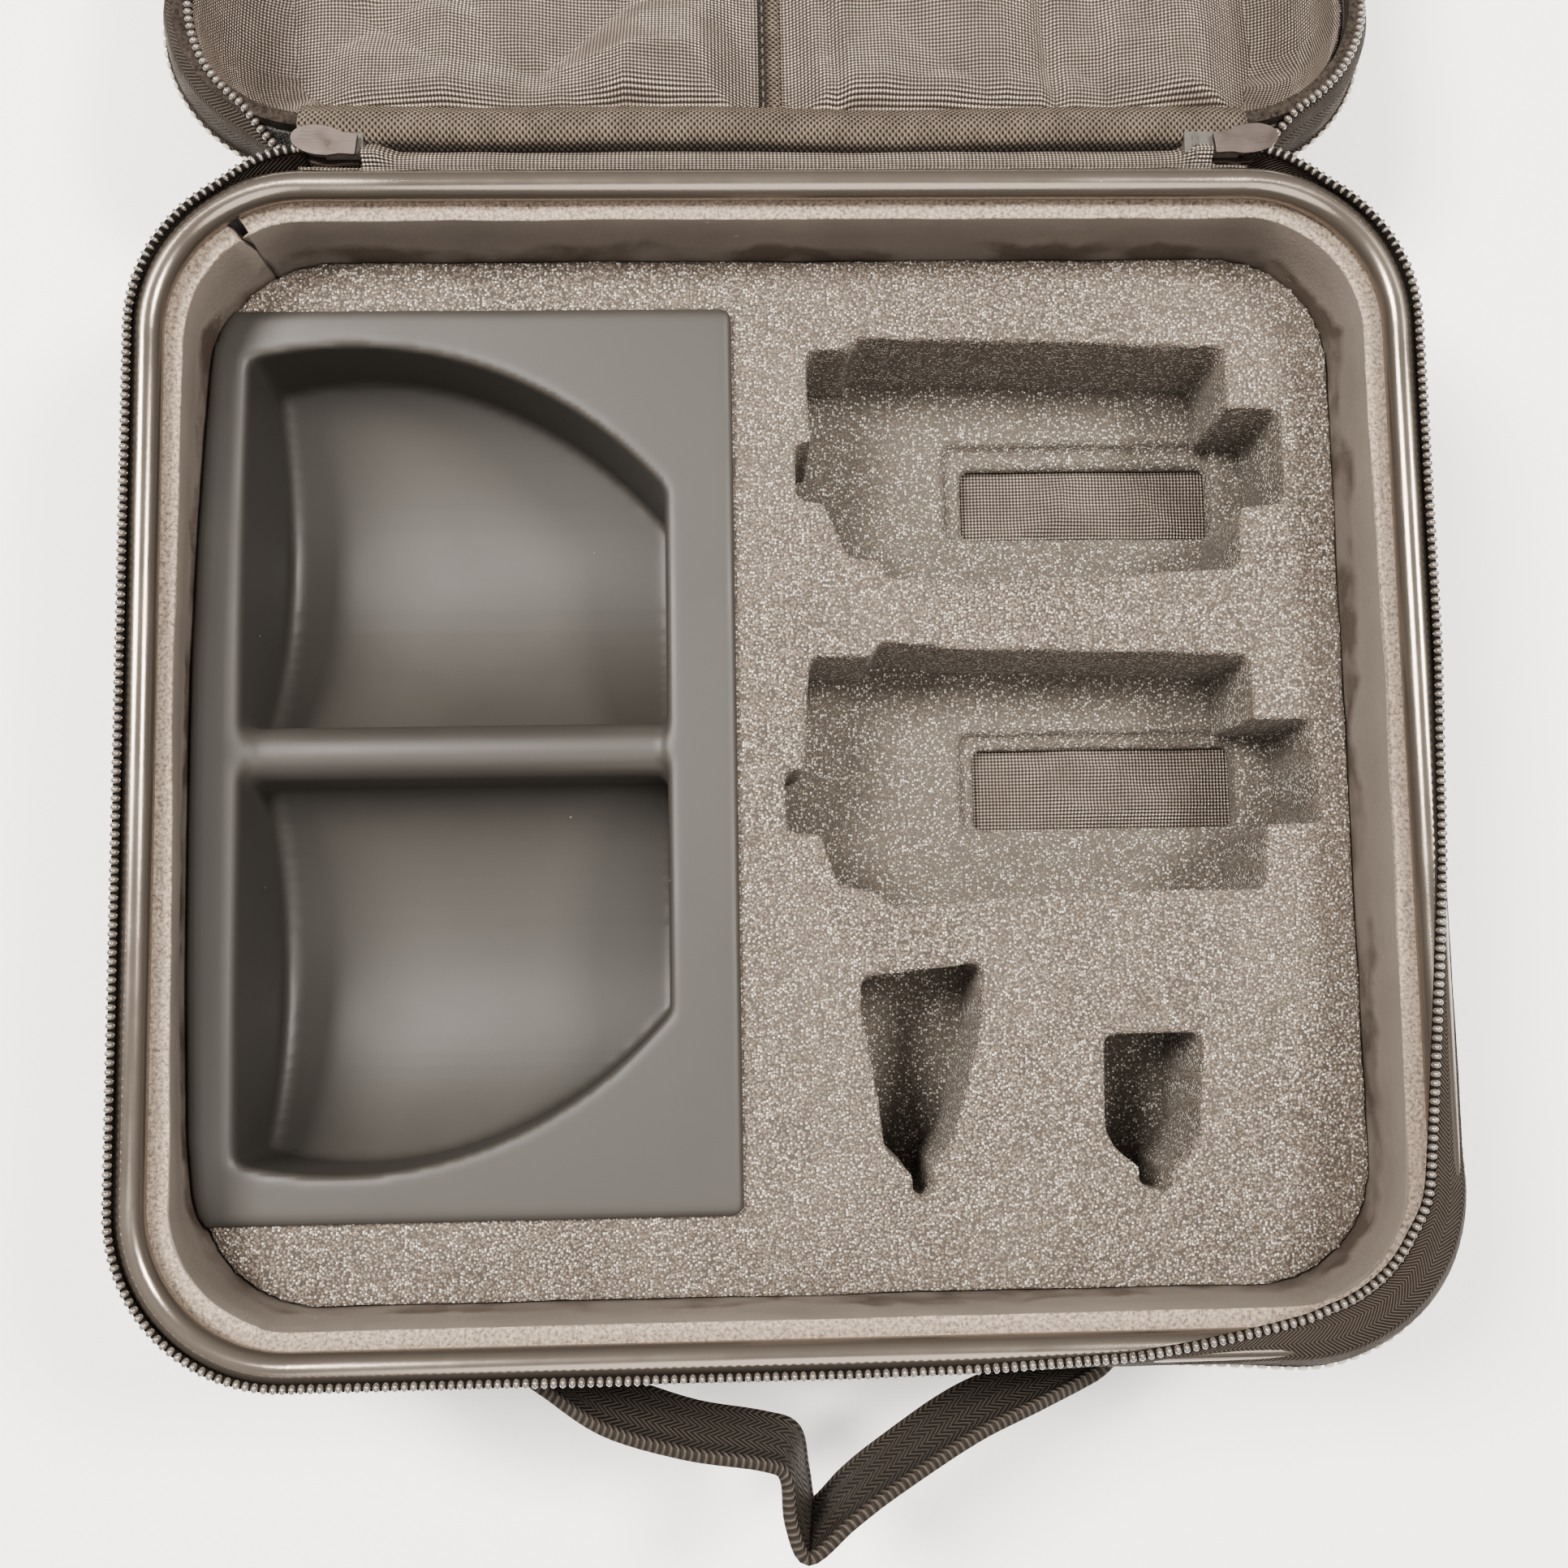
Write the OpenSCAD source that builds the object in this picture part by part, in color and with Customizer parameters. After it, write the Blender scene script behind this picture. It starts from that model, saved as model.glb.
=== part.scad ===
// Soft-shell carrying case for a small folding drone, shown open with the lid laid back.
// Millimetres. +X right, +Y to the hinge at the back, +Z up. The origin is the centre of the
// base's underside. The lid is drawn closed and turned about the hinge line to its open place.

/* [Case] */
// Outside width of the moulded base across X
case_w = 296; // [288:1:304]
// Outside depth of the moulded base across Y
case_d = 272; // [266:1:280]
// Outside corner radius seen from above
corner_r = 37; // [36:0.5:40]
// Thickness of the moulded shells
wall = 3.5; // [3:0.25:4]
// Height of the rim trim's centre line above the floor
base_h = 75; // [73:0.5:78]
// Depth of the lid from the parting plane to its outside
lid_h = 42.5; // [40:0.5:46]
// Radius of the rounded outer edge at the bottom of the base and the top of the lid
edge_r = 12; // [9:0.5:14]
// Radius of the rim trim
rim_r = 3.5; // [3:0.1:4]

/* [Hinge] */
// How far the hinge line stands behind the base
hinge_back = 9; // [8.5:0.25:10]
// Angle the lid turns from closed to open
open_angle = 185.5; // [180:0.1:185.5]
// Half length of the fabric hinge, between the two sliders
hinge_half = 97; // [90:1:98]

/* [Padding] */
// Thickness of the foam strip glued round the inside of the wall
liner_t = 5.4; // [4:0.1:6]
// Height of the upper foam's top face
foam_top = 49; // [46:0.5:52]
// Height at which the two foam layers meet
foam_split = 13; // [11:0.5:15]

/* [Drone tray] */
// Radius of the round edge of the two cells
cell_r = 100.5; // [95:0.5:102]
// Depth of each cell at its middle
cell_depth = 44; // [40:0.5:44]
// Radius of each cell's trough-shaped floor
trough_r = 70; // [60:1:90]
// Width of the rounded bar between the cells
bar_w = 13.5; // [10:0.5:16]

/* [Zip] */
// Width across one row of coil
coil_w = 3.6; // [3:0.1:3.8]
// Height of the woven tape between the coil and its stitched edge
tape_h = 14; // [10:0.5:16]

/* [Handle] */
// Height of the handle's swing line above the floor
handle_z = 47; // [44:1:50]
// Width of the webbing
strap_w = 22; // [18:1:24]
// Thickness of the webbing
strap_t = 3; // [2:0.25:3.5]

/* [Hidden] */
$fn = 96;
gap = 0.1;
half_x = case_w / 2;
half_y = case_d / 2;
path_x = half_x - wall / 2;
path_y = half_y - wall / 2;
path_r = corner_r - wall / 2;
wall_top = base_h - rim_r - gap;
part_z = base_h + rim_r + 3;
lid_top = part_z + lid_h;
hinge_y = half_y + hinge_back;
hinge_z = base_h;
liner_x = half_x - wall - liner_t;
liner_y = half_y - wall - liner_t;
liner_r = corner_r - wall - liner_t;
lining_t = 0.8;
floor_z = wall + gap;
foam_z = floor_z + lining_t + gap;
coil_r = coil_w / 2;
coil_u = 3.4;
tape_u = 3.9;
tape_t = 0.8;
base_coil_z = part_z - coil_r - 0.15;
lid_coil_z = part_z + coil_r + 0.15;
zip_end = path_x - path_r + 2;
cord_r = 1.1;
tray_x0 = -liner_x + gap;
tray_x1 = -11;
tray_y0 = -108;
tray_y1 = 114;
tray_t = 1.8;
tray_top = foam_top + gap + 2.3;
cell_x = -106;
cell_y = 4;
cell_x0 = -130;
cell_x1 = -28.5;
slider_len = 15.4;
slider_w = 7.3;
slider_turn = 7.5;
blade_t = 1.2;
slider_gap = 3.8;
slider_z = hinge_z - 2;
crown_r = 2.4;
crown_z = slider_z - slider_gap / 2 - blade_t - 1.5;
pull_len = 20;
pull_w = 4.4;
strap_y = -half_y - 3.5;

// Battery pockets and small pockets, cut right through the upper foam
rear_pocket = [[7, 104], [18, 104], [20, 107], [113, 104], [113, 88], [126.5, 88], [126.5, 63.5],
    [115, 63], [114.5, 47], [48, 44.5], [26, 45.5], [24, 50], [17, 51], [11, 64.5], [4, 66], [4, 80],
    [8, 80.5]];
front_pocket = [[7, 26], [22, 25.5], [24, 29.5], [41, 27.5], [116, 25], [116, 9], [130.5, 9],
    [132, -17], [118, -17], [117, -33], [62, -33], [25, -35.5], [22, -32], [12.5, -30], [8, -17.5],
    [0.5, -17], [0, -2], [5, -2], [6, 17.5]];
tapered_pocket = [[17.5, -52.5], [47.5, -49.5], [46, -66.5], [39, -90.5], [33.7, -98], [33.5, -105],
    [28.8, -105], [29, -100], [22.5, -93.5], [21, -80], [17.5, -61]];
square_pocket = [[76.5, -67.3], [100, -67.3], [98.5, -91.5], [95.5, -97], [91.5, -99], [91, -105.5],
    [83.5, -103.5], [83.5, -99], [78, -94.5], [75.8, -90]];
// Floor windows in the lower foam: the stepped recess and the opening inside it, [x0, y0, x1, y1]
rear_recess = [46, 64, 119, 90];
rear_window = [51, 64, 119, 84.5];
front_recess = [48, -15, 122.5, 10.7];
front_window = [52, -15, 122.5, 7];
// Upper and lower edges of the free part of the handle, seen from above, with the height of each
// edge above or below the swing line
strap_upper = [[-60, -145, 6], [-45, -154, 11], [-26, -160, 11], [-8, -163, 11], [-3, -166, 11],
    [-2, -176, 11], [2, -184, 11], [12, -176.5, 11], [22, -169.5, 11], [41, -158, 11], [56, -151.5, 10],
    [70, -146, 6]];
strap_lower = [[-60, -143.5, -6], [-43, -148, -10], [-24, -154.5, -11], [-8, -157.5, -11],
    [0, -160.5, -11], [2, -170, -11], [4, -178, -11], [12, -171, -11], [20, -165, -11], [38, -153.5, -11],
    [54, -147, -9], [70, -144, -6]];

// ---- Outlines and rings ----

module round_rect(hx, hy, r) {
    square([2 * hx, 2 * (hy - r)], center = true);
    square([2 * (hx - r), 2 * hy], center = true);
    for (sx = [-1, 1], sy = [-1, 1])
        translate([sx * (hx - r), sy * (hy - r)]) circle(r);
}

module slab(hx, hy, r, z0, z1) {
    translate([0, 0, z0]) linear_extrude(z1 - z0) round_rect(hx, hy, r);
}

// Sweeps a flat section round a rounded rectangle. The section's x points outwards and its y up.
// open_half leaves out the back side between -open_half and open_half.
module ring(hx, hy, r, open_half = 0) {
    run_x = 2 * (hx - r);
    run_y = 2 * (hy - r);
    translate([hx, hy - r, 0]) rotate([90, 0, 0]) linear_extrude(run_y) children();
    translate([-hx, r - hy, 0]) rotate([90, 0, 180]) linear_extrude(run_y) children();
    translate([hx - r, -hy, 0]) rotate([90, 0, -90]) linear_extrude(run_x) children();
    if (open_half == 0)
        translate([r - hx, hy, 0]) rotate([90, 0, 90]) linear_extrude(run_x) children();
    for (corner = [[1, 1, 0], [-1, 1, 90], [-1, -1, 180], [1, -1, 270]])
        translate([corner[0] * (hx - r), corner[1] * (hy - r), 0]) rotate([0, 0, corner[2]])
            rotate_extrude(angle = 90) translate([r, 0]) children();
}

// A block whose lower edge is rounded all round
module round_bottom_block(hx, hy, r, edge, z0, z1) {
    slab(hx, hy, r, z0 + edge, z1);
    slab(hx - edge, hy - edge, r - edge, z0, z0 + edge);
    ring(hx - edge, hy - edge, r - edge)
        translate([0, z0 + edge]) intersection() {
            circle(edge);
            translate([0, -edge]) square(edge);
        }
}

module moulded_tub(height) {
    difference() {
        round_bottom_block(half_x, half_y, corner_r, edge_r, 0, height);
        round_bottom_block(half_x - wall, half_y - wall, corner_r - wall, edge_r - wall, wall, height + 1);
    }
}

// Turns a lid part, drawn closed, to where it lies open
module opened(angle = open_angle) {
    translate([0, hinge_y, hinge_z]) rotate([-angle, 0, 0]) translate([0, -hinge_y, -hinge_z])
        children();
}

module window(box, z0, z1) {
    translate([box[0], box[1], z0]) cube([box[2] - box[0], box[3] - box[1], z1 - z0]);
}

// ---- Base ----

module base_shell() {
    color("#3c3a39") moulded_tub(wall_top);
}

module base_rim() {
    color("#8d837a") ring(path_x, path_y, path_r) translate([0, base_h]) circle(rim_r);
}

module base_liner() {
    liner_z0 = edge_r + gap;
    liner_z1 = base_h - 3;
    mid_x = liner_x + liner_t / 2;
    mid_y = liner_y + liner_t / 2;
    color("#8f8378") difference() {
        ring(mid_x, mid_y, liner_r + liner_t / 2)
            translate([-liner_t / 2, liner_z0]) square([liner_t - gap, liner_z1 - liner_z0]);
        // The two ends of the strip meet at a slanting cut with a chipped corner
        translate([-liner_x + 9, liner_y - 2, 0]) rotate([0, 0, 30]) translate([-0.25, -9, 0])
            cube([0.5, 20, base_h]);
        translate([-liner_x + 7, liner_y - 1.5, liner_z1 - 5]) rotate([0, 0, 30])
            linear_extrude(6) polygon([[-2.5, 8], [2, 8], [0, 1]]);
    }
}

module base_floor_lining() {
    color("#8b8580") slab(half_x - edge_r, half_y - edge_r, corner_r - edge_r, floor_z, floor_z + lining_t);
}

// Outline of the two cells together, grown by the given amount
module cell_outline(grow = 0) {
    intersection() {
        translate([cell_x, cell_y]) circle(cell_r + grow, $fn = 180);
        translate([cell_x0 - grow, cell_y - cell_r - grow])
            square([cell_x1 - cell_x0 + 2 * grow, 2 * (cell_r + grow)]);
    }
}

// The space of both cells, grown by the given amount, with a trough floor under each
module cells(grow = 0) {
    trough_y = (cell_r + bar_w / 2) / 2;
    intersection() {
        linear_extrude(2 * tray_top) cell_outline(grow);
        union() {
            for (side = [-1, 1])
                intersection() {
                    translate([cell_x0 - 20, cell_y + side * trough_y, tray_top - cell_depth + trough_r])
                        rotate([0, 90, 0]) cylinder(h = cell_x1 - cell_x0 + 40, r = trough_r + grow);
                    translate([cell_x0 - 20, side > 0 ? cell_y + bar_w / 2 - grow : cell_y - cell_r - 20, -5])
                        cube([cell_x1 - cell_x0 + 40, cell_r + 20 - bar_w / 2 + grow, 100]);
                }
        }
    }
}

module foam_lower() {
    color("#857a6f") difference() {
        slab(liner_x - gap, liner_y - gap, liner_r, foam_z, foam_split - gap);
        for (box = [rear_recess, front_recess]) window(box, foam_split - 4, foam_split + 1);
        for (box = [rear_window, front_window]) window(box, 0, foam_split + 1);
        cells(tray_t + 0.4);
    }
}

module foam_upper() {
    color("#8f8479") difference() {
        slab(liner_x - gap, liner_y - gap, liner_r, foam_split, foam_top);
        for (outline = [rear_pocket, front_pocket, tapered_pocket, square_pocket])
            translate([0, 0, foam_split - 1]) linear_extrude(foam_top) polygon(outline);
        translate([0, 0, foam_split - 1]) linear_extrude(foam_top) cell_outline(tray_t + 0.4);
    }
}

module drone_tray() {
    bar_z = tray_top - 1.5 - bar_w / 2;
    color("#4b4843") difference() {
        union() {
            intersection() {
                translate([tray_x0, tray_y0, foam_top + gap])
                    cube([tray_x1 - tray_x0, tray_y1 - tray_y0, tray_top - foam_top - gap]);
                slab(liner_x - gap, liner_y - gap, liner_r - gap, foam_top + gap, tray_top);
            }
            intersection() {
                cells(tray_t);
                translate([-200, -200, 0]) cube([400, 400, tray_top]);
            }
        }
        cells();
        // The bar between the cells is lower than the flange and has a round top
        translate([cell_x0, cell_y - bar_w / 2, bar_z]) cube([cell_x1 - cell_x0, bar_w, 40]);
    }
    color("#4b4843") intersection() {
        translate([cell_x0 - 1, cell_y, bar_z]) rotate([0, 90, 0])
            cylinder(h = cell_x1 - cell_x0 + 2, r = bar_w / 2);
        translate([cell_x0 - 1, cell_y - bar_w, bar_z - 1]) cube([cell_x1 - cell_x0 + 2, 2 * bar_w, 20]);
    }
}

// ---- Zip ----

module zip_tape(z0, z1) {
    ring(path_x, path_y, path_r, zip_end) translate([tape_u, z0]) square([tape_t, z1 - z0]);
}

module zip_coil(z) {
    ring(path_x, path_y, path_r, zip_end) translate([coil_u, z]) circle(coil_r);
}

module zip_piping(z) {
    ring(path_x, path_y, path_r, zip_end) translate([tape_u + tape_t / 2, z]) circle(cord_r);
}

module base_zip_tape() {
    color("#6a625b") zip_tape(base_coil_z - coil_r - tape_h, base_coil_z - coil_r - gap);
}

module base_zip_coil() {
    color("#3b3734") zip_coil(base_coil_z);
}

module base_zip_piping() {
    color("#4d4843") zip_piping(base_coil_z - coil_r - tape_h - cord_r - gap);
}

module lid_zip_tape() {
    color("#6a625b") opened() zip_tape(lid_coil_z + coil_r + gap, lid_coil_z + coil_r + tape_h);
}

module lid_zip_coil() {
    color("#3b3734") opened() zip_coil(lid_coil_z);
}

module lid_zip_piping() {
    color("#4d4843") opened() zip_piping(lid_coil_z + coil_r + tape_h + cord_r + gap);
}

// ---- Fabric hinge ----

module hinge_tape_base() {
    color("#8b8580") translate([-zip_end, half_y + gap, base_h - 17])
        cube([2 * zip_end, lining_t, 17 - rim_r + 0.4]);
}

module hinge_tape_lid() {
    color("#8b8580") opened() translate([-zip_end, half_y + gap, part_z + part_z - base_h])
        cube([2 * zip_end, lining_t, 17]);
}

module hinge_panel() {
    color("#958d86") translate([-hinge_half, hinge_y - 4, hinge_z - 0.7]) cube([2 * hinge_half, 8, lining_t]);
}

module zip_end(side) {
    stub_len = side > 0 ? 13.5 : 9;
    color("#3b3734") translate([side > 0 ? hinge_half + 0.5 : -hinge_half - 0.5 - stub_len,
        hinge_y - 2.6, slider_z - 1.4]) cube([stub_len, 5.2, 2.8]);
}

// ---- Lid ----

module lid_shell() {
    lid_edge = part_z + 5;
    color("#3c3a39") opened() translate([0, 0, lid_top]) mirror([0, 0, 1]) moulded_tub(lid_top - lid_edge);
}

module lid_edge_trim() {
    color("#55504b") opened() ring(path_x, path_y, path_r)
        translate([-wall / 2 - 0.4, part_z + 1.6]) square([wall - 0.2, 3.3]);
}

module lid_lining() {
    inset = wall + gap;
    edge = edge_r - inset;
    depth = lid_top - inset - (part_z + 6);
    color("#9a938c") opened() translate([0, 0, lid_top - inset]) mirror([0, 0, 1]) difference() {
        round_bottom_block(half_x - inset, half_y - inset, corner_r - inset, edge, 0, depth);
        round_bottom_block(half_x - inset - lining_t, half_y - inset - lining_t,
            corner_r - inset - lining_t, edge - lining_t, lining_t, depth + 1);
    }
}

// Flat pocket panels sewn to the lining across the inside of the lid, drawn between x0 and x1
module lid_panel(x0, x1, thickness) {
    inset = wall + 2 * gap + lining_t;
    opened() intersection() {
        slab(half_x - edge_r - 1, half_y - edge_r - 1, corner_r - edge_r - 1, lid_top - inset - thickness,
            lid_top - inset);
        translate([x0, -half_y, 0]) cube([x1 - x0, case_d, 2 * lid_top]);
    }
}

module lid_panel_left() {
    color("#9d968f") lid_panel(-half_x, -3, 3);
}

module lid_panel_right() {
    color("#a29b94") lid_panel(3, half_x, 3);
}

module lid_panel_binding() {
    color("#7c756e") lid_panel(-2.9, 2.9, 4);
}

module lid_hinge_binding() {
    color("#6b645e") opened() translate([-zip_end, half_y - wall - 6, part_z + 1.2])
        cube([2 * zip_end, 5.4, 4.6]);
}

// ---- Sliders and pull tabs ----

// Blade outline: the broad rounded end points along +x and the narrow end along -x
module blade_outline() {
    nose = 6.6;
    bulge = slider_len / 2 - nose;
    shoulder = [[-slider_len / 2, 2.45], [-4.1, 2.7], [-1.4, 3.5]];
    polygon(concat(shoulder,
        [for (turn = [90:-10:-90]) [bulge + nose * cos(turn), slider_w / 2 * sin(turn)]],
        [for (i = [2:-1:0]) [shoulder[i].x, -shoulder[i].y]]));
}

// Each slider points outwards along its end of the zip, which curves in a little from the corner
module at_slider(side, height) {
    spot = [side > 0 ? 112 : -106.4, hinge_y];
    translate([spot.x, spot.y, height]) rotate([0, 0, side > 0 ? slider_turn : 180 - slider_turn]) children();
}

module slider(side) {
    blade_z = slider_gap / 2;
    color("#a59691") at_slider(side, slider_z) {
        difference() {
            union() {
                translate([0, 0, blade_z]) linear_extrude(blade_t) blade_outline();
                translate([0, 0, -blade_z - blade_t]) linear_extrude(blade_t) blade_outline();
                // Neck between the blades at the broad end
                translate([slider_len / 2 - 4, -1.2, -blade_z - 0.1]) cube([3.4, 2.4, slider_gap + 0.2]);
                // Crown that carries the pull tab, on the outside of the case
                translate([-1, -1, crown_z - slider_z]) cube([2, 2, 2.4]);
                translate([0, 1, crown_z - slider_z]) rotate([90, 0, 0]) cylinder(h = 2, r = crown_r);
            }
            translate([0, 2, crown_z - slider_z]) rotate([90, 0, 0]) cylinder(h = 4, r = 1.25);
        }
    }
}

module pull_tab(side) {
    tab_t = 1.6;
    color("#8f8580") at_slider(side, crown_z) {
        translate([0, pull_w / 2, 0]) rotate([90, 0, 0]) cylinder(h = pull_w, r = 0.9);
        for (arm = [-1, 1])
            translate([-0.8, arm > 0 ? 1.4 : -pull_w / 2, -6]) cube([tab_t, pull_w / 2 - 1.4, 6]);
        difference() {
            translate([-0.8, -pull_w / 2, -pull_len]) cube([tab_t, pull_w, pull_len - 5]);
            translate([-2, 0, -pull_len + 3]) rotate([0, 90, 0]) cylinder(h = 4, r = 1.2);
        }
    }
}

// ---- Handle ----

module handle_anchor(side) {
    foot = side > 0 ? 78 : 68;
    reach = side > 0 ? 71.2 : 61.2;
    patch = 22;
    color("#4a4642") {
        // The doubled end is stitched flat to the wall, and the webbing bends away from it
        translate([side > 0 ? foot : -foot - patch, -half_y - strap_t - gap, handle_z - strap_w / 2])
            cube([patch, strap_t, strap_w]);
        translate([0, 0, handle_z - 6]) linear_extrude(12) polygon([
            [side * (foot + 0.1), -half_y - gap], [side * (foot + 0.1), -half_y - strap_t - gap],
            [side * reach, -half_y - 10], [side * reach, -half_y - 7]]);
    }
}

// Sheet of webbing between two edge lines, given its thickness across the run of the lines
module webbing(upper, lower, thickness) {
    count = len(upper);
    function run_angle(line, i) = let (a = line[max(i - 1, 0)], b = line[min(i + 1, count - 1)])
        atan2(b[1] - a[1], b[0] - a[0]);
    function shifted(line, i, side) = [
        line[i][0] - side * sin(run_angle(line, i)) * thickness / 2,
        line[i][1] + side * cos(run_angle(line, i)) * thickness / 2,
        handle_z + line[i][2]];
    points = [for (i = [0 : count - 1]) each [shifted(upper, i, 1), shifted(upper, i, -1),
        shifted(lower, i, -1), shifted(lower, i, 1)]];
    sides = [for (i = [0 : count - 2], k = [0 : 3])
        [4 * i + 4 + k, 4 * i + 4 + (k + 1) % 4, 4 * i + (k + 1) % 4, 4 * i + k]];
    last = 4 * (count - 1);
    polyhedron(points = points, faces = concat([[0, 1, 2, 3]], sides, [[last + 3, last + 2, last + 1, last]]));
}

module handle_strap() {
    color("#4a4642") webbing(strap_upper, strap_lower, strap_t);
}

base_shell();
base_rim();
base_liner();
base_floor_lining();
foam_lower();
foam_upper();
drone_tray();
base_zip_tape();
base_zip_coil();
base_zip_piping();
hinge_tape_base();
handle_anchor(-1);  // handle_anchor_left
handle_anchor(1);  // handle_anchor_right
handle_strap();
lid_shell();
lid_lining();
lid_panel_left();
lid_panel_right();
lid_panel_binding();
lid_edge_trim();
lid_hinge_binding();
lid_zip_tape();
lid_zip_coil();
lid_zip_piping();
hinge_tape_lid();
hinge_panel();
zip_end(-1);  // zip_end_left
zip_end(1);  // zip_end_right
slider(-1);  // slider_left
slider(1);  // slider_right
pull_tab(-1);  // pull_tab_left
pull_tab(1);  // pull_tab_right
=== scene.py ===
import math

import bmesh
import bpy
import numpy as np
from mathutils import Matrix, Vector, noise


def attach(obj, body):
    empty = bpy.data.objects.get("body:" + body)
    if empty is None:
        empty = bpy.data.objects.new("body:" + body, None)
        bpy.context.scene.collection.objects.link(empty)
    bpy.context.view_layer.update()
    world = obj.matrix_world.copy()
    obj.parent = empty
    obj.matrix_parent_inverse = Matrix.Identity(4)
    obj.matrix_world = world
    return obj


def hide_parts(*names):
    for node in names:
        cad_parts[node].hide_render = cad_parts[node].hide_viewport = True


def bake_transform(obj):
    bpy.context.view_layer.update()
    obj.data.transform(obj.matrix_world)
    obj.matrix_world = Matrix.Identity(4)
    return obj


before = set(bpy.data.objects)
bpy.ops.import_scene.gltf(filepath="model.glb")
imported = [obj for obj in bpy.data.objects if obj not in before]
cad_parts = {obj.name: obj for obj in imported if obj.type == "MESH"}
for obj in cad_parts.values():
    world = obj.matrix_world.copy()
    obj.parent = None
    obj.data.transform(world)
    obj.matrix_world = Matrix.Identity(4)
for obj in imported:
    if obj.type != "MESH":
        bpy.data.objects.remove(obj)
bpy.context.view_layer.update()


# ---- Camera ----
# Looks almost straight down into the open base from just above the middle of its front half,
# turned a degree or two, as a hand-held camera is.

camera_data = bpy.data.cameras.new("camera")
camera_data.sensor_width = 36
camera_data.lens = 37.27
camera = bpy.data.objects.new("camera", camera_data)
camera.matrix_world = (
    Matrix.Translation((-0.0129, -0.0444, 0.4424))
    @ Matrix.Rotation(math.radians(-0.843), 4, "Z")
    @ Matrix.Rotation(math.radians(5.688), 4, "X")
    @ Matrix.Rotation(math.radians(-1.751), 4, "Y")
)
bpy.context.scene.collection.objects.link(camera)
bpy.context.scene.camera = camera


# ---- Light and floor ----
# A soft window high on the left, a smaller lamp on the right, a broad weak fill from the front and
# pale light from above, over a plain pale floor.

world = bpy.data.worlds.new("studio")
world.use_nodes = True
sky = world.node_tree.nodes["Background"]
sky.inputs["Color"].default_value = (1.0, 0.96, 0.91, 1)
direction = world.node_tree.nodes.new("ShaderNodeSeparateXYZ")
overhead = world.node_tree.nodes.new("ShaderNodeMapRange")
overhead.inputs["To Min"].default_value = 0.18
overhead.inputs["To Max"].default_value = 0.80
seen = world.node_tree.nodes.new("ShaderNodeTexCoord")
world.node_tree.links.new(seen.outputs["Generated"], direction.inputs[0])
world.node_tree.links.new(direction.outputs["Z"], overhead.inputs["Value"])
world.node_tree.links.new(overhead.outputs["Result"], sky.inputs["Strength"])
bpy.context.scene.world = world

for light_name, place, size, power in (
    ("window", (-0.68, 0.34, 1.2), 0.5, 62),
    ("lamp", (0.72, 0.28, 1.2), 0.35, 40),
    ("fill", (0.15, -0.8, 1.25), 1.2, 22),
):
    light_data = bpy.data.lights.new(light_name, "AREA")
    light_data.shape = "DISK"
    light_data.size = size
    light_data.energy = power
    light_data.color = (1.0, 0.94, 0.87)
    light = bpy.data.objects.new(light_name, light_data)
    light.location = place
    light.rotation_euler = (Vector((0, 0, 0)) - Vector(place)).to_track_quat("-Z", "Y").to_euler()
    bpy.context.scene.collection.objects.link(light)

floor_mesh = bpy.data.meshes.new("floor")
floor_mesh.from_pydata([(-4, -4, 0), (4, -4, 0), (4, 4, 0), (-4, 4, 0)], [], [(0, 1, 2, 3)])
floor = bpy.data.objects.new("floor", floor_mesh)
floor_paint = bpy.data.materials.new("floor paint")
floor_paint.use_nodes = True
floor_paint.node_tree.nodes["Principled BSDF"].inputs["Base Color"].default_value = (0.95, 0.945, 0.94, 1)
floor_paint.node_tree.nodes["Principled BSDF"].inputs["Roughness"].default_value = 0.75
floor_mesh.materials.append(floor_paint)
bpy.context.scene.collection.objects.link(floor)


# ---- Moulded shells of the base and lid ----
# Two tubs of firm foam board, heat-formed together with a hard-wearing plain-woven cloth on the
# outside. The cloth's threads cross at right angles and wear lighter in patches.


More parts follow.
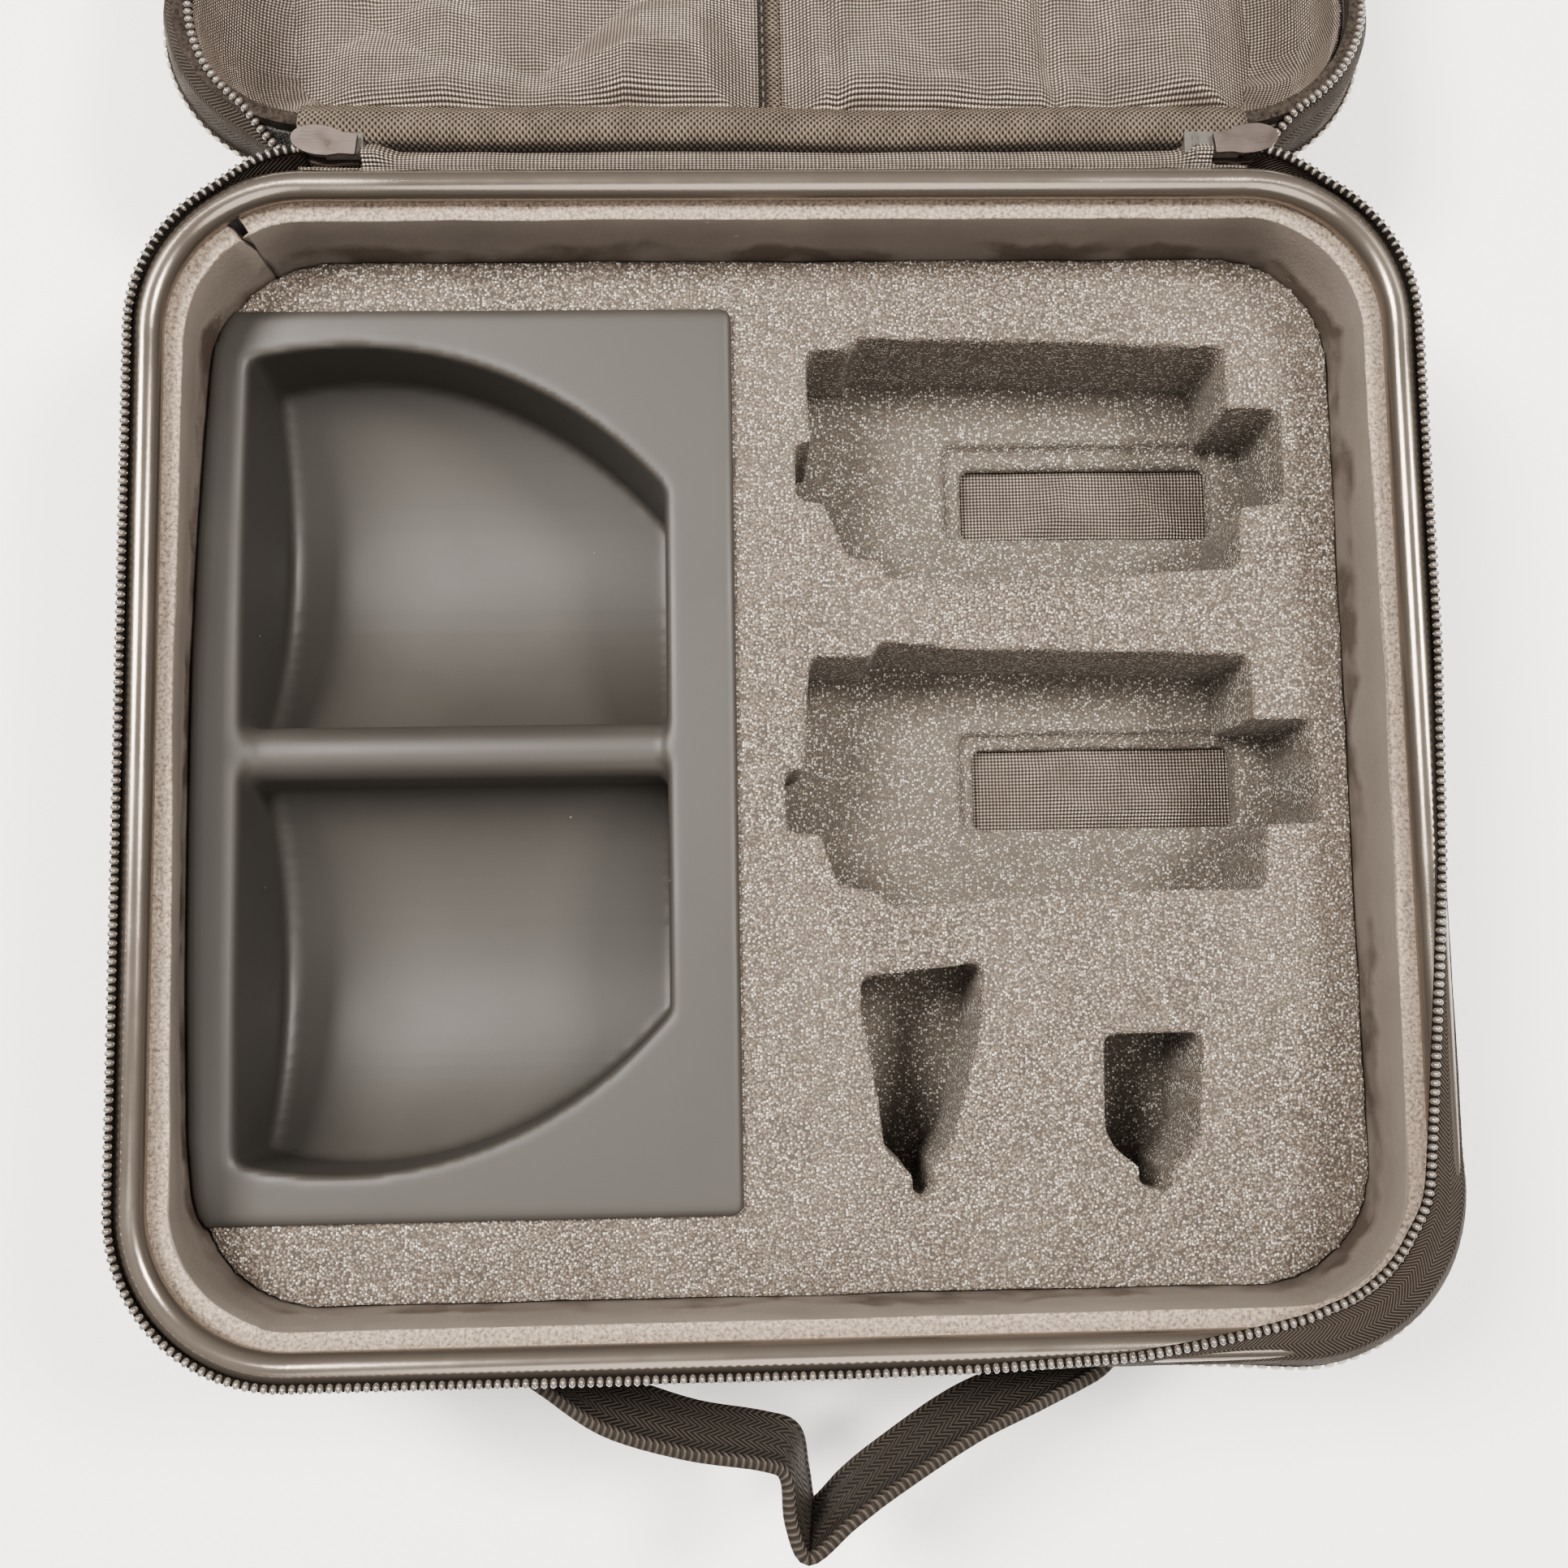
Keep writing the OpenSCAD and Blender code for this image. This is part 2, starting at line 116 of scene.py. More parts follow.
class Finish:
    """A material being mixed. put() adds one node and joins up its inputs."""

    def __init__(self, name, colour, roughness, **shader):
        self.material = bpy.data.materials.new(name)
        self.material.use_nodes = True
        self.tree = self.material.node_tree
        self.surface = self.tree.nodes["Principled BSDF"]
        named = {key.replace("_", " "): value for key, value in shader.items()}
        self.join(self.surface, {"Base Color": (*colour, 1), "Roughness": roughness, **named})

    def join(self, node, inputs):
        for key, value in inputs.items():
            if isinstance(value, bpy.types.NodeSocket):
                self.tree.links.new(value, node.inputs[key])
            else:
                node.inputs[key].default_value = value

    def put(self, kind, inputs=None, **settings):
        node = self.tree.nodes.new("ShaderNode" + kind)
        for key, value in settings.items():
            setattr(node, key, value)
        self.join(node, inputs or {})
        return node

    def sum(self, operation, *values):
        return self.put("Math", dict(enumerate(values)), operation=operation).outputs[0]

    def place(self, kind="Object"):
        return self.put("TexCoord").outputs[kind]

    def axes(self, where):
        parts = self.put("SeparateXYZ", {0: where})
        return parts.outputs[0], parts.outputs[1], parts.outputs[2]

    def cloud(self, where, size, detail=3.0, rough=0.55):
        inputs = {"Vector": where, "Scale": 1 / size, "Detail": detail, "Roughness": rough}
        return self.put("TexNoise", inputs).outputs[0]

    def spread(self, value, low, high, to_low=0.0, to_high=1.0):
        return self.put("MapRange", {0: value, 1: low, 2: high, 3: to_low, 4: to_high}).outputs[0]

    def tint(self, share, dark, light):
        inputs = {0: share}
        for slot, colour in ((6, dark), (7, light)):
            inputs[slot] = colour if isinstance(colour, bpy.types.NodeSocket) else (*colour, 1)
        return self.put("Mix", inputs, data_type="RGBA").outputs[2]

    def colour(self, socket):
        self.join(self.surface, {"Base Color": socket})

    def rough(self, socket):
        self.join(self.surface, {"Roughness": socket})

    def relief(self, height, depth, strength=1.0):
        inputs = {"Height": height, "Distance": depth, "Strength": strength}
        before = self.surface.inputs["Normal"].links
        if before:
            inputs["Normal"] = before[0].from_socket
        bump = self.put("Bump", inputs)
        self.join(self.surface, {"Normal": bump.outputs[0]})

    def ribs(self, value, pitch):
        """A wave from -1 to 1 that repeats every pitch metres of value."""
        return self.sum("SINE", self.sum("MULTIPLY", value, 2 * math.pi / pitch))


shell_cloth = Finish("shell cloth", (0.022, 0.021, 0.020), 0.72, Sheen_Weight=0.04, Sheen_Roughness=0.5)
where = shell_cloth.place()
across, deep, high = (shell_cloth.ribs(axis, 0.0011) for axis in shell_cloth.axes(where))
crossings = shell_cloth.sum(
    "ADD",
    shell_cloth.sum("ADD", shell_cloth.sum("MULTIPLY", across, high), shell_cloth.sum("MULTIPLY", deep, high)),
    shell_cloth.sum("MULTIPLY", across, deep),
)
fading = shell_cloth.cloud(where, 0.03, 5)
thread = shell_cloth.spread(crossings, -1, 1.4)
shell_cloth.colour(shell_cloth.tint(
    shell_cloth.sum("MULTIPLY", thread, shell_cloth.spread(fading, 0.3, 0.75, 0.4, 1)),
    (0.013, 0.0125, 0.012), (0.040, 0.038, 0.036)))
shell_cloth.rough(shell_cloth.spread(fading, 0.3, 0.7, 0.62, 0.82))
shell_cloth.relief(crossings, 0.00014)
shell_cloth.relief(fading, 0.0006, 0.5)
for node in ("base_shell", "lid_shell"):
    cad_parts[node].data.materials[0] = shell_cloth.material


# ---- Rim trim ----
# A satin dark-grey plastic tube, slit along its length and pushed onto the top edge of the base
# wall all the way round. It is polished by handling and has small scuffs along its top.

rim_trim = Finish("rim trim", (0.17, 0.145, 0.122), 0.18, Metallic=0.85)
where = rim_trim.place()
handling = rim_trim.cloud(where, 0.02, 4)
drawn_out = rim_trim.put("Mapping", {"Vector": where, "Scale": (1, 1, 5)}).outputs[0]
scratches = rim_trim.cloud(drawn_out, 0.0012, 6, 0.7)
scuffs = rim_trim.sum("MULTIPLY", rim_trim.spread(scratches, 0.66, 0.74),
                      rim_trim.spread(handling, 0.54, 0.66))
rim_trim.colour(rim_trim.tint(scuffs, (0.155, 0.131, 0.110), (0.30, 0.26, 0.22)))
worn = rim_trim.sum("ADD", handling, rim_trim.sum("MULTIPLY", scuffs, 0.6))
rim_trim.rough(rim_trim.spread(worn, 0.3, 1.1, 0.13, 0.36))
rim_trim.relief(scratches, 0.00003, 0.6)
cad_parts["base_rim"].data.materials[0] = rim_trim.material


# ---- Foam strip round the inside of the wall ----
# A strip of dense closed-cell foam with a felted top edge, glued round the inside of the wall. Its
# two ends meet at a slanting cut at the back left, one corner is chipped, and glue is smeared
# along the foot. The tray presses the strip's left side outwards.

MM = 0.001
PATH_X, PATH_Y, PATH_R = 146.25, 134.25, 35.25


def rounded_path(half_x, half_y, radius, step, open_half=0.0):
    """Rows of x, y, outward x, outward y and length, clockwise from above, from the back's middle."""
    centre_x, centre_y = half_x - radius, half_y - radius
    rows = []

    def straight(start, end, out):
        start, end = np.array(start), np.array(end)
        count = max(1, math.ceil(np.linalg.norm(end - start) / step))
        rows.extend([*(start + (end - start) * k / count), *out] for k in range(count))

    def corner(sign_x, sign_y, first):
        count = max(6, math.ceil(radius * math.pi / 2 / step))
        for k in range(count):
            angle = math.radians(first - 90 * k / count)
            out = (math.cos(angle), math.sin(angle))
            rows.append([sign_x * centre_x + radius * out[0], sign_y * centre_y + radius * out[1], *out])

    straight((open_half, half_y), (centre_x, half_y), (0, 1))
    corner(1, 1, 90)
    straight((half_x, centre_y), (half_x, -centre_y), (1, 0))
    corner(1, -1, 0)
    straight((centre_x, -half_y), (-centre_x, -half_y), (0, -1))
    corner(-1, -1, -90)
    straight((-half_x, -centre_y), (-half_x, centre_y), (-1, 0))
    corner(-1, 1, 180)
    straight((-centre_x, half_y), (-open_half, half_y), (0, 1))
    if open_half:
        rows.append([-open_half, half_y, 0, 1])
    rows = np.array(rows)
    steps = np.linalg.norm(np.diff(rows[:, :2], axis=0), axis=1)
    return np.column_stack([rows, np.concatenate([[0], np.cumsum(steps)])])


def make_piece(name, points, faces, finish, uvs=None, smooth=True):
    """A mesh object from points in millimetres. uvs holds one pair a point, in millimetres."""
    mesh = bpy.data.meshes.new(name)
    mesh.from_pydata((np.array(points) * MM).tolist(), [], faces)
    if uvs is not None:
        layer = mesh.uv_layers.new(name="UVMap")
        corners = np.array(uvs)[[loop.vertex_index for loop in mesh.loops]] * MM
        layer.data.foreach_set("uv", corners.astype(np.float32).ravel())
    mesh.materials.append(finish.material)
    mesh.polygons.foreach_set("use_smooth", [smooth] * len(mesh.polygons))
    piece = bpy.data.objects.new(name, mesh)
    bpy.context.scene.collection.objects.link(piece)
    shape = bmesh.new()
    shape.from_mesh(mesh)
    bmesh.ops.recalc_face_normals(shape, faces=shape.faces)
    shape.to_mesh(mesh)
    shape.free()
    return piece


def sweep(name, path, section, finish, closed=True, place=None):
    """Carries a closed section of (outward, up) points along a path and caps its open ends."""
    loops = [np.array(section(row)) for row in path]
    count, size = len(loops), len(loops[0])
    points, uvs = [], []
    for row, loop in zip(path, loops):
        edge = np.concatenate([[0], np.cumsum(np.linalg.norm(np.diff(loop, axis=0), axis=1))])
        for (out, up), run in zip(loop, edge):
            points.append((row[0] + row[2] * out, row[1] + row[3] * out, up))
            uvs.append((row[4], run))
    faces = []
    for i in range(count if closed else count - 1):
        after = (i + 1) % count
        for k in range(size):
            side = (k + 1) % size
            faces.append((i * size + k, after * size + k, after * size + side, i * size + side))
    if not closed:
        faces.append(tuple(range(size)))
        faces.append(tuple(range((count - 1) * size, count * size))[::-1])
    if place is not None:
        points = [place(point) for point in points]
    return make_piece(name, points, faces, finish, uvs)


def wander(x, y, z, size, seed=0.0):
    """Smooth noise from -1 to 1 at a point in millimetres."""
    return noise.noise(Vector((x / size + seed, y / size - seed, z / size + 2 * seed)))


def tray_push(x, y):
    """How far the tray's bowed left edge pushes the foam strip outwards."""
    if x > -120:
        return 0.0
    return float(np.interp(y, [-112, -100, -87, -50, -14, 25, 55, 82, 118], [0, 1.9, 3.0, 3.9, 4.2, 4.0, 3.1, 1.9, 0]))


def edge_push(x, y):
    """How far the top edge of the foam strip stands outwards along the case's sides."""
    if abs(x) < 120:
        return 0.0
    if x < 0:
        return float(np.interp(y, [-110, -84, -60, 0, 25, 63, 100], [-0.5, -0.4, -0.2, 0.8, 1.0, 0.5, 0]))
    return float(np.interp(y, [-105, -90, -76, 0, 22, 61, 80, 100], [-0.8, -0.5, 0, 1.2, 1.3, 0.7, 0, 0]))


liner_foam = Finish("liner foam", (0.09, 0.08, 0.07), 0.85)
where = liner_foam.place()
grain = liner_foam.cloud(where, 0.0009, 6, 0.75)
patches = liner_foam.cloud(where, 0.02, 4)
round_section_run = liner_foam.axes(liner_foam.place("UV"))[1]
top_face = liner_foam.sum("MULTIPLY", liner_foam.spread(round_section_run, 0.0592, 0.0595),
                          liner_foam.spread(round_section_run, 0.0650, 0.0647))
side_colour = liner_foam.tint(patches, (0.085, 0.069, 0.058), (0.150, 0.123, 0.102))
felt_colour = liner_foam.tint(liner_foam.spread(grain, 0.38, 0.62),
                              (0.080, 0.060, 0.045), (0.380, 0.300, 0.235))
drawn_down = liner_foam.put("Mapping", {"Vector": where, "Scale": (1, 1, 0.2)}).outputs[0]
band = liner_foam.cloud(drawn_down, 0.022, 4, 0.5)
band_top = liner_foam.spread(band, 0.3, 0.7, 0.052, 0.064)
glue = liner_foam.spread(liner_foam.sum("SUBTRACT", band_top, liner_foam.axes(where)[2]), 0.0, 0.0035)
glue = liner_foam.sum("MULTIPLY", glue, liner_foam.spread(patches, 0.40, 0.58, 0.15, 1.0))
glue_and_glint_colour = liner_foam.tint(glue, side_colour, (0.046, 0.034, 0.026))
# Painted highlights: small bright glints are painted over the strip's sides, on top of the darker glue.
glint_place = liner_foam.put("Mapping", {"Vector": where, "Scale": (1, 1, 6)}).outputs[0]
painted_glint_spots = liner_foam.spread(liner_foam.cloud(glint_place, 0.004, 3), 0.74, 0.78)
glue_and_glint_colour = liner_foam.tint(painted_glint_spots, glue_and_glint_colour, (0.45, 0.42, 0.38))
liner_foam.colour(liner_foam.tint(top_face, glue_and_glint_colour, felt_colour))
liner_foam.rough(liner_foam.sum("SUBTRACT", 0.8, liner_foam.sum("MULTIPLY", glue, 0.35)))
liner_foam.relief(grain, 0.0005, 0.9)
liner_foam.relief(glue, 0.0004, 0.6)


def liner_section(row):
    x, y = row[0], row[1]
    wobble = 0.3 * wander(x, y, 0, 26) + 0.12 * wander(x, y, 3, 6)
    inner = -2.55 + edge_push(x, y) + wobble
    low = -2.55 + tray_push(x, y) + wobble
    top = 71.9 + 0.35 * wander(x, y, 9, 22) + 0.15 * wander(x, y, 1, 5)
    outer = 2.62
    return [
        (outer, 12.2), (outer, top - 0.3), (outer - 0.12, top - 0.08), (outer - 0.4, top),
        (inner + 0.4, top), (inner + 0.12, top - 0.08), (inner, top - 0.35),
        (0.55 * inner + 0.45 * low + 0.2 * wander(x, y, 5, 14), 62), (low + 0.1, 54), (low, 44), (-2.55 + wobble, 12.2),
    ]


# The strip starts and ends at the slanting cut, a third of the way round the back-left corner
liner_ring = rounded_path(141.85, 129.85, 30.85, 1.6)
cut_at = int(np.argmin(np.hypot(liner_ring[:, 0] + 127, liner_ring[:, 1] - 124)))
liner_ring = np.roll(liner_ring, -cut_at, axis=0)
liner_ring[:, 4] = np.arange(len(liner_ring)) * 1.6
liner = sweep("liner_strip", liner_ring, liner_section, liner_foam, closed=False)
slant = liner.data.vertices
size = 11
for end, first in ((1, 0), (-1, (len(liner_ring) - 1) * size)):
    along = liner_ring[1 if end > 0 else -1] - liner_ring[0 if end > 0 else -2]
    along = Vector((along[0], along[1], 0)).normalized()
    for k in range(size):
        corner = slant[first + k]
        lean = (0.072 - corner.co.z) * 0.75 + (0.0006 if end > 0 else 0)
        chip = 0.0022 if end > 0 and corner.co.z > 0.0712 and k < 5 else 0
        corner.co += along * (lean * 0.35 + chip - 0.0002 * end)
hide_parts("base_liner")
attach(liner, "base")


# ---- Floor lining ----
# A thin sheet of shiny plain-woven nylon glued to the inside of the moulded base. It shows only
# through the two floor windows of the foam, where it lies in small ripples.


def grid_sheet(name, span_x, span_y, step, shape, finish, thickness, place=None):
    """A thin closed sheet over a rectangle. shape(x, y) gives the height of its top face."""
    xs = np.linspace(*span_x, max(2, round((span_x[1] - span_x[0]) / step) + 1))
    ys = np.linspace(*span_y, max(2, round((span_y[1] - span_y[0]) / step) + 1))
    points, uvs = [], []
    for y in ys:
        for x in xs:
            point = (x, y, shape(x, y))
            points.append(place(point) if place else point)
            uvs.append((x, y))
    wide = len(xs)
    faces = [
        (j * wide + i, j * wide + i + 1, (j + 1) * wide + i + 1, (j + 1) * wide + i)
        for j in range(len(ys) - 1) for i in range(wide - 1)
    ]
    piece = make_piece(name, points, faces, finish, uvs)
    solid = piece.modifiers.new("thickness", "SOLIDIFY")
    solid.thickness = thickness * MM
    solid.offset = 0
    return settled(piece)


def settled(piece):
    """The piece with its modifiers turned into plain mesh."""
    bpy.context.view_layer.update()
    finished = piece.evaluated_get(bpy.context.evaluated_depsgraph_get())
    mesh = bpy.data.meshes.new_from_object(finished)
    piece.modifiers.clear()
    piece.data = mesh
    return piece


def nylon(name, dark, light, pitch=0.00130, coordinates="UV"):
    """Shiny plain-woven nylon: raised crossings in a brick pattern over soft creases."""
    cloth = Finish(name, light, 0.40, Metallic=0.55)
    where = cloth.place(coordinates)
    u, v, _ = cloth.axes(where)
    diagonal = cloth.sum("ADD", u, v)
    other = cloth.sum("SUBTRACT", u, v)
    weave = cloth.sum("MULTIPLY", cloth.ribs(diagonal, pitch * 1.41), cloth.ribs(other, pitch * 1.41))
    uneven = cloth.cloud(where, 0.012, 4)
    share = cloth.sum("MULTIPLY", cloth.spread(weave, -0.1, 0.8), cloth.spread(uneven, 0.3, 0.7, 0.55, 1))
    cloth.colour(cloth.tint(share, dark, light))
    cloth.rough(cloth.spread(weave, -1, 1, 0.46, 0.30))
    cloth.relief(weave, 0.00030, 1.0)
    return cloth


lining_cloth = nylon("lining nylon", (0.045, 0.036, 0.030), (0.640, 0.530, 0.445))


def floor_ripple(x, y):
    ridge = 1 - abs(wander(x, y, 0, 17, 3.1))
    swell = 0.0
    for left, right, low, top in ((51, 119, 64, 84.5), (52, 122.5, -15, 7)):
        share_x, share_y = (x - left) / (right - left), (y - low) / (top - low)
        if 0 < share_x < 1 and 0 < share_y < 1:
            rise = math.sin(math.pi * share_x) * math.sin(math.pi * share_y)
            fold = 1 - abs(wander(x * 0.5 + y * 0.6, y - x * 0.35, 0, 13, 8.2))
            swell = 2.2 * rise ** 0.7 * (0.2 + 1.3 * fold ** 3)
    return 4.3 + 0.5 * ridge ** 3 + 0.1 * wander(x, y, 0, 5) + swell


floor_lining = grid_sheet("floor_lining", (-135, 135), (-123, 123), 1.6, floor_ripple, lining_cloth, 0.4)
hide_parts("base_floor_lining")
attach(floor_lining, "base")


# ---- Foam blocks ----
# Two layers of coarse open-cell foam, knife-cut to hold the batteries and small parts. The glints
# of the cut cells are painted in as bright points, and the cut edges are slightly crushed and wavy.


def softened(node, name, finish, voxel, passes, swell=None):
    """A closed copy of a CAD node with softly rounded edges, and swell(point) added to it."""
    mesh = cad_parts[node].data.copy()
    shape = bmesh.new()
    shape.from_mesh(mesh)
    bmesh.ops.remove_doubles(shape, verts=shape.verts, dist=1e-6)
    shape.to_mesh(mesh)
    shape.free()
    piece = bpy.data.objects.new(name, mesh)
    bpy.context.scene.collection.objects.link(piece)
    remesh = piece.modifiers.new("remesh", "REMESH")
    remesh.mode = "VOXEL"
    remesh.voxel_size = voxel * MM
    remesh.use_smooth_shade = True
    ease = piece.modifiers.new("ease", "SMOOTH")
    ease.factor = 0.5
    ease.iterations = passes
    settled(piece)
    piece.data.materials.clear()
    piece.data.materials.append(finish.material)
    if swell:
        for vertex in piece.data.vertices:
            vertex.co = Vector(swell(*(vertex.co / MM))) * MM
    return piece


block_foam = Finish("cut foam", (0.07, 0.063, 0.056), 0.88)
where = block_foam.place()
cells = block_foam.put("TexVoronoi", {"Vector": where, "Scale": 1 / 0.00062}, feature="F1")
fine = block_foam.cloud(where, 0.0008, 4, 0.8)
broad = block_foam.cloud(where, 0.03, 3)
lit = block_foam.axes(cells.outputs["Color"])
skin = block_foam.spread(cells.outputs["Distance"], 0.70, 0.10)
# Painted highlights: a near-white glint is painted on the middle of a share of the cells.
near = block_foam.spread(cells.outputs["Distance"], 0.55, 0.20)
bright = block_foam.sum("POWER", block_foam.spread(lit[0], 0.30, 1.0), 2.4)
painted_glint = block_foam.sum("MULTIPLY", near, bright)
skin = block_foam.sum("MULTIPLY", skin, block_foam.spread(fine, 0.32, 0.68, 0.25, 1.0))
body_colour = block_foam.tint(skin, (0.022, 0.016, 0.012), (0.310, 0.245, 0.190))
body_colour = block_foam.tint(block_foam.spread(broad, 0.3, 0.7, 0, 0.25), body_colour, (0.110, 0.088, 0.070))
# Painted shade: the foam is painted darker towards the pocket floors, below about 46 mm.
deep = block_foam.spread(block_foam.axes(where)[2], 0.030, 0.046, 0.5, 0.0)
body_colour = block_foam.tint(deep, body_colour, (0.050, 0.043, 0.034))
block_foam.colour(block_foam.tint(painted_glint, body_colour, (0.95, 0.90, 0.82)))
block_foam.rough(block_foam.sum("SUBTRACT", 0.9, block_foam.sum("MULTIPLY", painted_glint, 0.4)))
block_foam.relief(skin, 0.0005, 0.9)


def foam_swell(x, y, z):
    return (
        x + 0.35 * wander(x, y, z, 16) + 0.1 * wander(x, y, z, 4),
        y + 0.35 * wander(x, y, z, 16, 7.7) + 0.1 * wander(x, y, z, 4, 7.7),
        z + (0.3 * wander(x, y, 0, 30, 2.2) - 0.15 if z > 30 else 0),
    )


for node, name in (("foam_lower", "foam_block_lower"), ("foam_upper", "foam_block_upper")):
    foam = softened(node, name, block_foam, 1.32, 1, foam_swell)
    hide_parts(node)
    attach(foam, "base")


# ---- Drone tray ----
# One sheet of matt dark plastic, vacuum-formed over a mould, so every edge is softly rounded. Two
# wells with trough floors are parted by a round-topped bar, and the left edge bows outwards.

tray_plastic = Finish("tray plastic", (0.021, 0.019, 0.0165), 0.55, Specular_IOR_Level=0.35)
where = tray_plastic.place()
bloom = tray_plastic.cloud(where, 0.05, 4)
grit = tray_plastic.cloud(where, 0.0004, 3)
dust = tray_plastic.put("TexVoronoi", {"Vector": where, "Scale": 1 / 0.009}, feature="F1")
speck = tray_plastic.sum("MULTIPLY", tray_plastic.spread(dust.outputs["Distance"], 0.03, 0.015),
                         tray_plastic.spread(tray_plastic.axes(dust.outputs["Color"])[1], 0.75, 0.8))
plain = tray_plastic.tint(bloom, (0.018, 0.0163, 0.0142), (0.026, 0.0236, 0.0203))
tray_plastic.colour(tray_plastic.tint(speck, plain, (0.25, 0.24, 0.22)))
tray_plastic.rough(tray_plastic.spread(bloom, 0.3, 0.7, 0.46, 0.58))
tray_plastic.relief(grit, 0.00003, 0.5)


def tray_bow(x, y, z):
    share = min(1.0, max(0.0, (-128 - x) / 8))
    lift = 0.0 if z < 48 else 0.3 * wander(x, y, 0, 60)
    if z > 46:
        for corner_y, sign in ((-108, -1), (114, 1)):
            gap_x, gap_y = x + 11 + 4, (y - corner_y) * sign + 4
            if gap_x > 0 and gap_y > 0 and math.hypot(gap_x, gap_y) > 4:
                pull = 4 / math.hypot(gap_x, gap_y)
                x, y = -15 + gap_x * pull, corner_y + sign * (gap_y * pull - 4)
    raised = 1.8 * share * min(1.0, tray_push(-139, y) / 3) if z > 45 else 0.0
    return x - tray_push(-139, y) * share, y, z + lift + raised


tray = softened("drone_tray", "formed_tray", tray_plastic, 1.2, 5, tray_bow)
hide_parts("drone_tray")
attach(tray, "base")


# ---- Zip ----
# A continuous nylon coil zip, one row sewn to the base and one to the lid. Each row is a chain of
# dark shiny turns on a twill tape, and the tape's far edge is rolled over a cord and stitched. The
# loose base row leans inwards over the rim round the front right corner.

OPEN_ANGLE = math.radians(185.5)
HINGE_Y, HINGE_Z = 145.0, 75.0


def opened(point):
    """Turns a point of the closed lid to where it lies open."""
    x, y, z = point
    cos_a, sin_a = math.cos(-OPEN_ANGLE), math.sin(-OPEN_ANGLE)
    y, z = y - HINGE_Y, z - HINGE_Z
    return x, HINGE_Y + y * cos_a - z * sin_a, HINGE_Z + y * sin_a + z * cos_a


zip_tape = Finish("zip twill", (0.05, 0.045, 0.04), 0.75, Specular_IOR_Level=0.12)
u, v, _ = zip_tape.axes(zip_tape.place("UV"))
zigzag = zip_tape.sum("PINGPONG", v, 0.0035)
twill = zip_tape.ribs(zip_tape.sum("ADD", u, zigzag), 0.0010)
worn = zip_tape.cloud(zip_tape.place(), 0.008, 4)
zip_tape.colour(zip_tape.tint(zip_tape.spread(twill, -0.8, 1), (0.004, 0.003, 0.0024), (0.046, 0.035, 0.027)))
zip_tape.rough(zip_tape.spread(worn, 0.3, 0.7, 0.6, 0.85))
zip_tape.relief(twill, 0.00018)

zip_coil = Finish("zip nylon", (0.055, 0.050, 0.046), 0.2,
                  Specular_IOR_Level=1.0, Coat_Weight=1.0, Coat_Roughness=0.12)
tone = zip_coil.cloud(zip_coil.place(), 0.004, 3)
zip_coil.colour(zip_coil.tint(tone, (0.028, 0.022, 0.018), (0.105, 0.086, 0.070)))
zip_coil.rough(zip_coil.spread(tone, 0.3, 0.7, 0.16, 0.34))

# Painted shade: a near-black tube inside each coil row stands in for the dark gaps between its turns.
gap_shade_finish = Finish("coil gap shade", (0.002, 0.0016, 0.0014), 0.9, Specular_IOR_Level=0.1)

thread_white = Finish("cream thread", (0.55, 0.50, 0.43), 0.6)
strands = thread_white.ribs(thread_white.sum("ADD", *thread_white.axes(thread_white.place())[:2]), 0.0004)
thread_white.colour(thread_white.tint(thread_white.spread(strands, -1, 1),
                                      (0.36, 0.32, 0.27), (0.66, 0.61, 0.53)))
thread_white.relief(strands, 0.00006)

thread_dark = Finish("dark thread", (0.05, 0.045, 0.04), 0.55)
strands = thread_dark.ribs(thread_dark.sum("ADD", *thread_dark.axes(thread_dark.place())[:2]), 0.0004)
thread_dark.colour(thread_dark.tint(thread_dark.spread(strands, -1, 1),
                                    (0.03, 0.027, 0.024), (0.09, 0.082, 0.073)))
thread_dark.relief(strands, 0.00006)


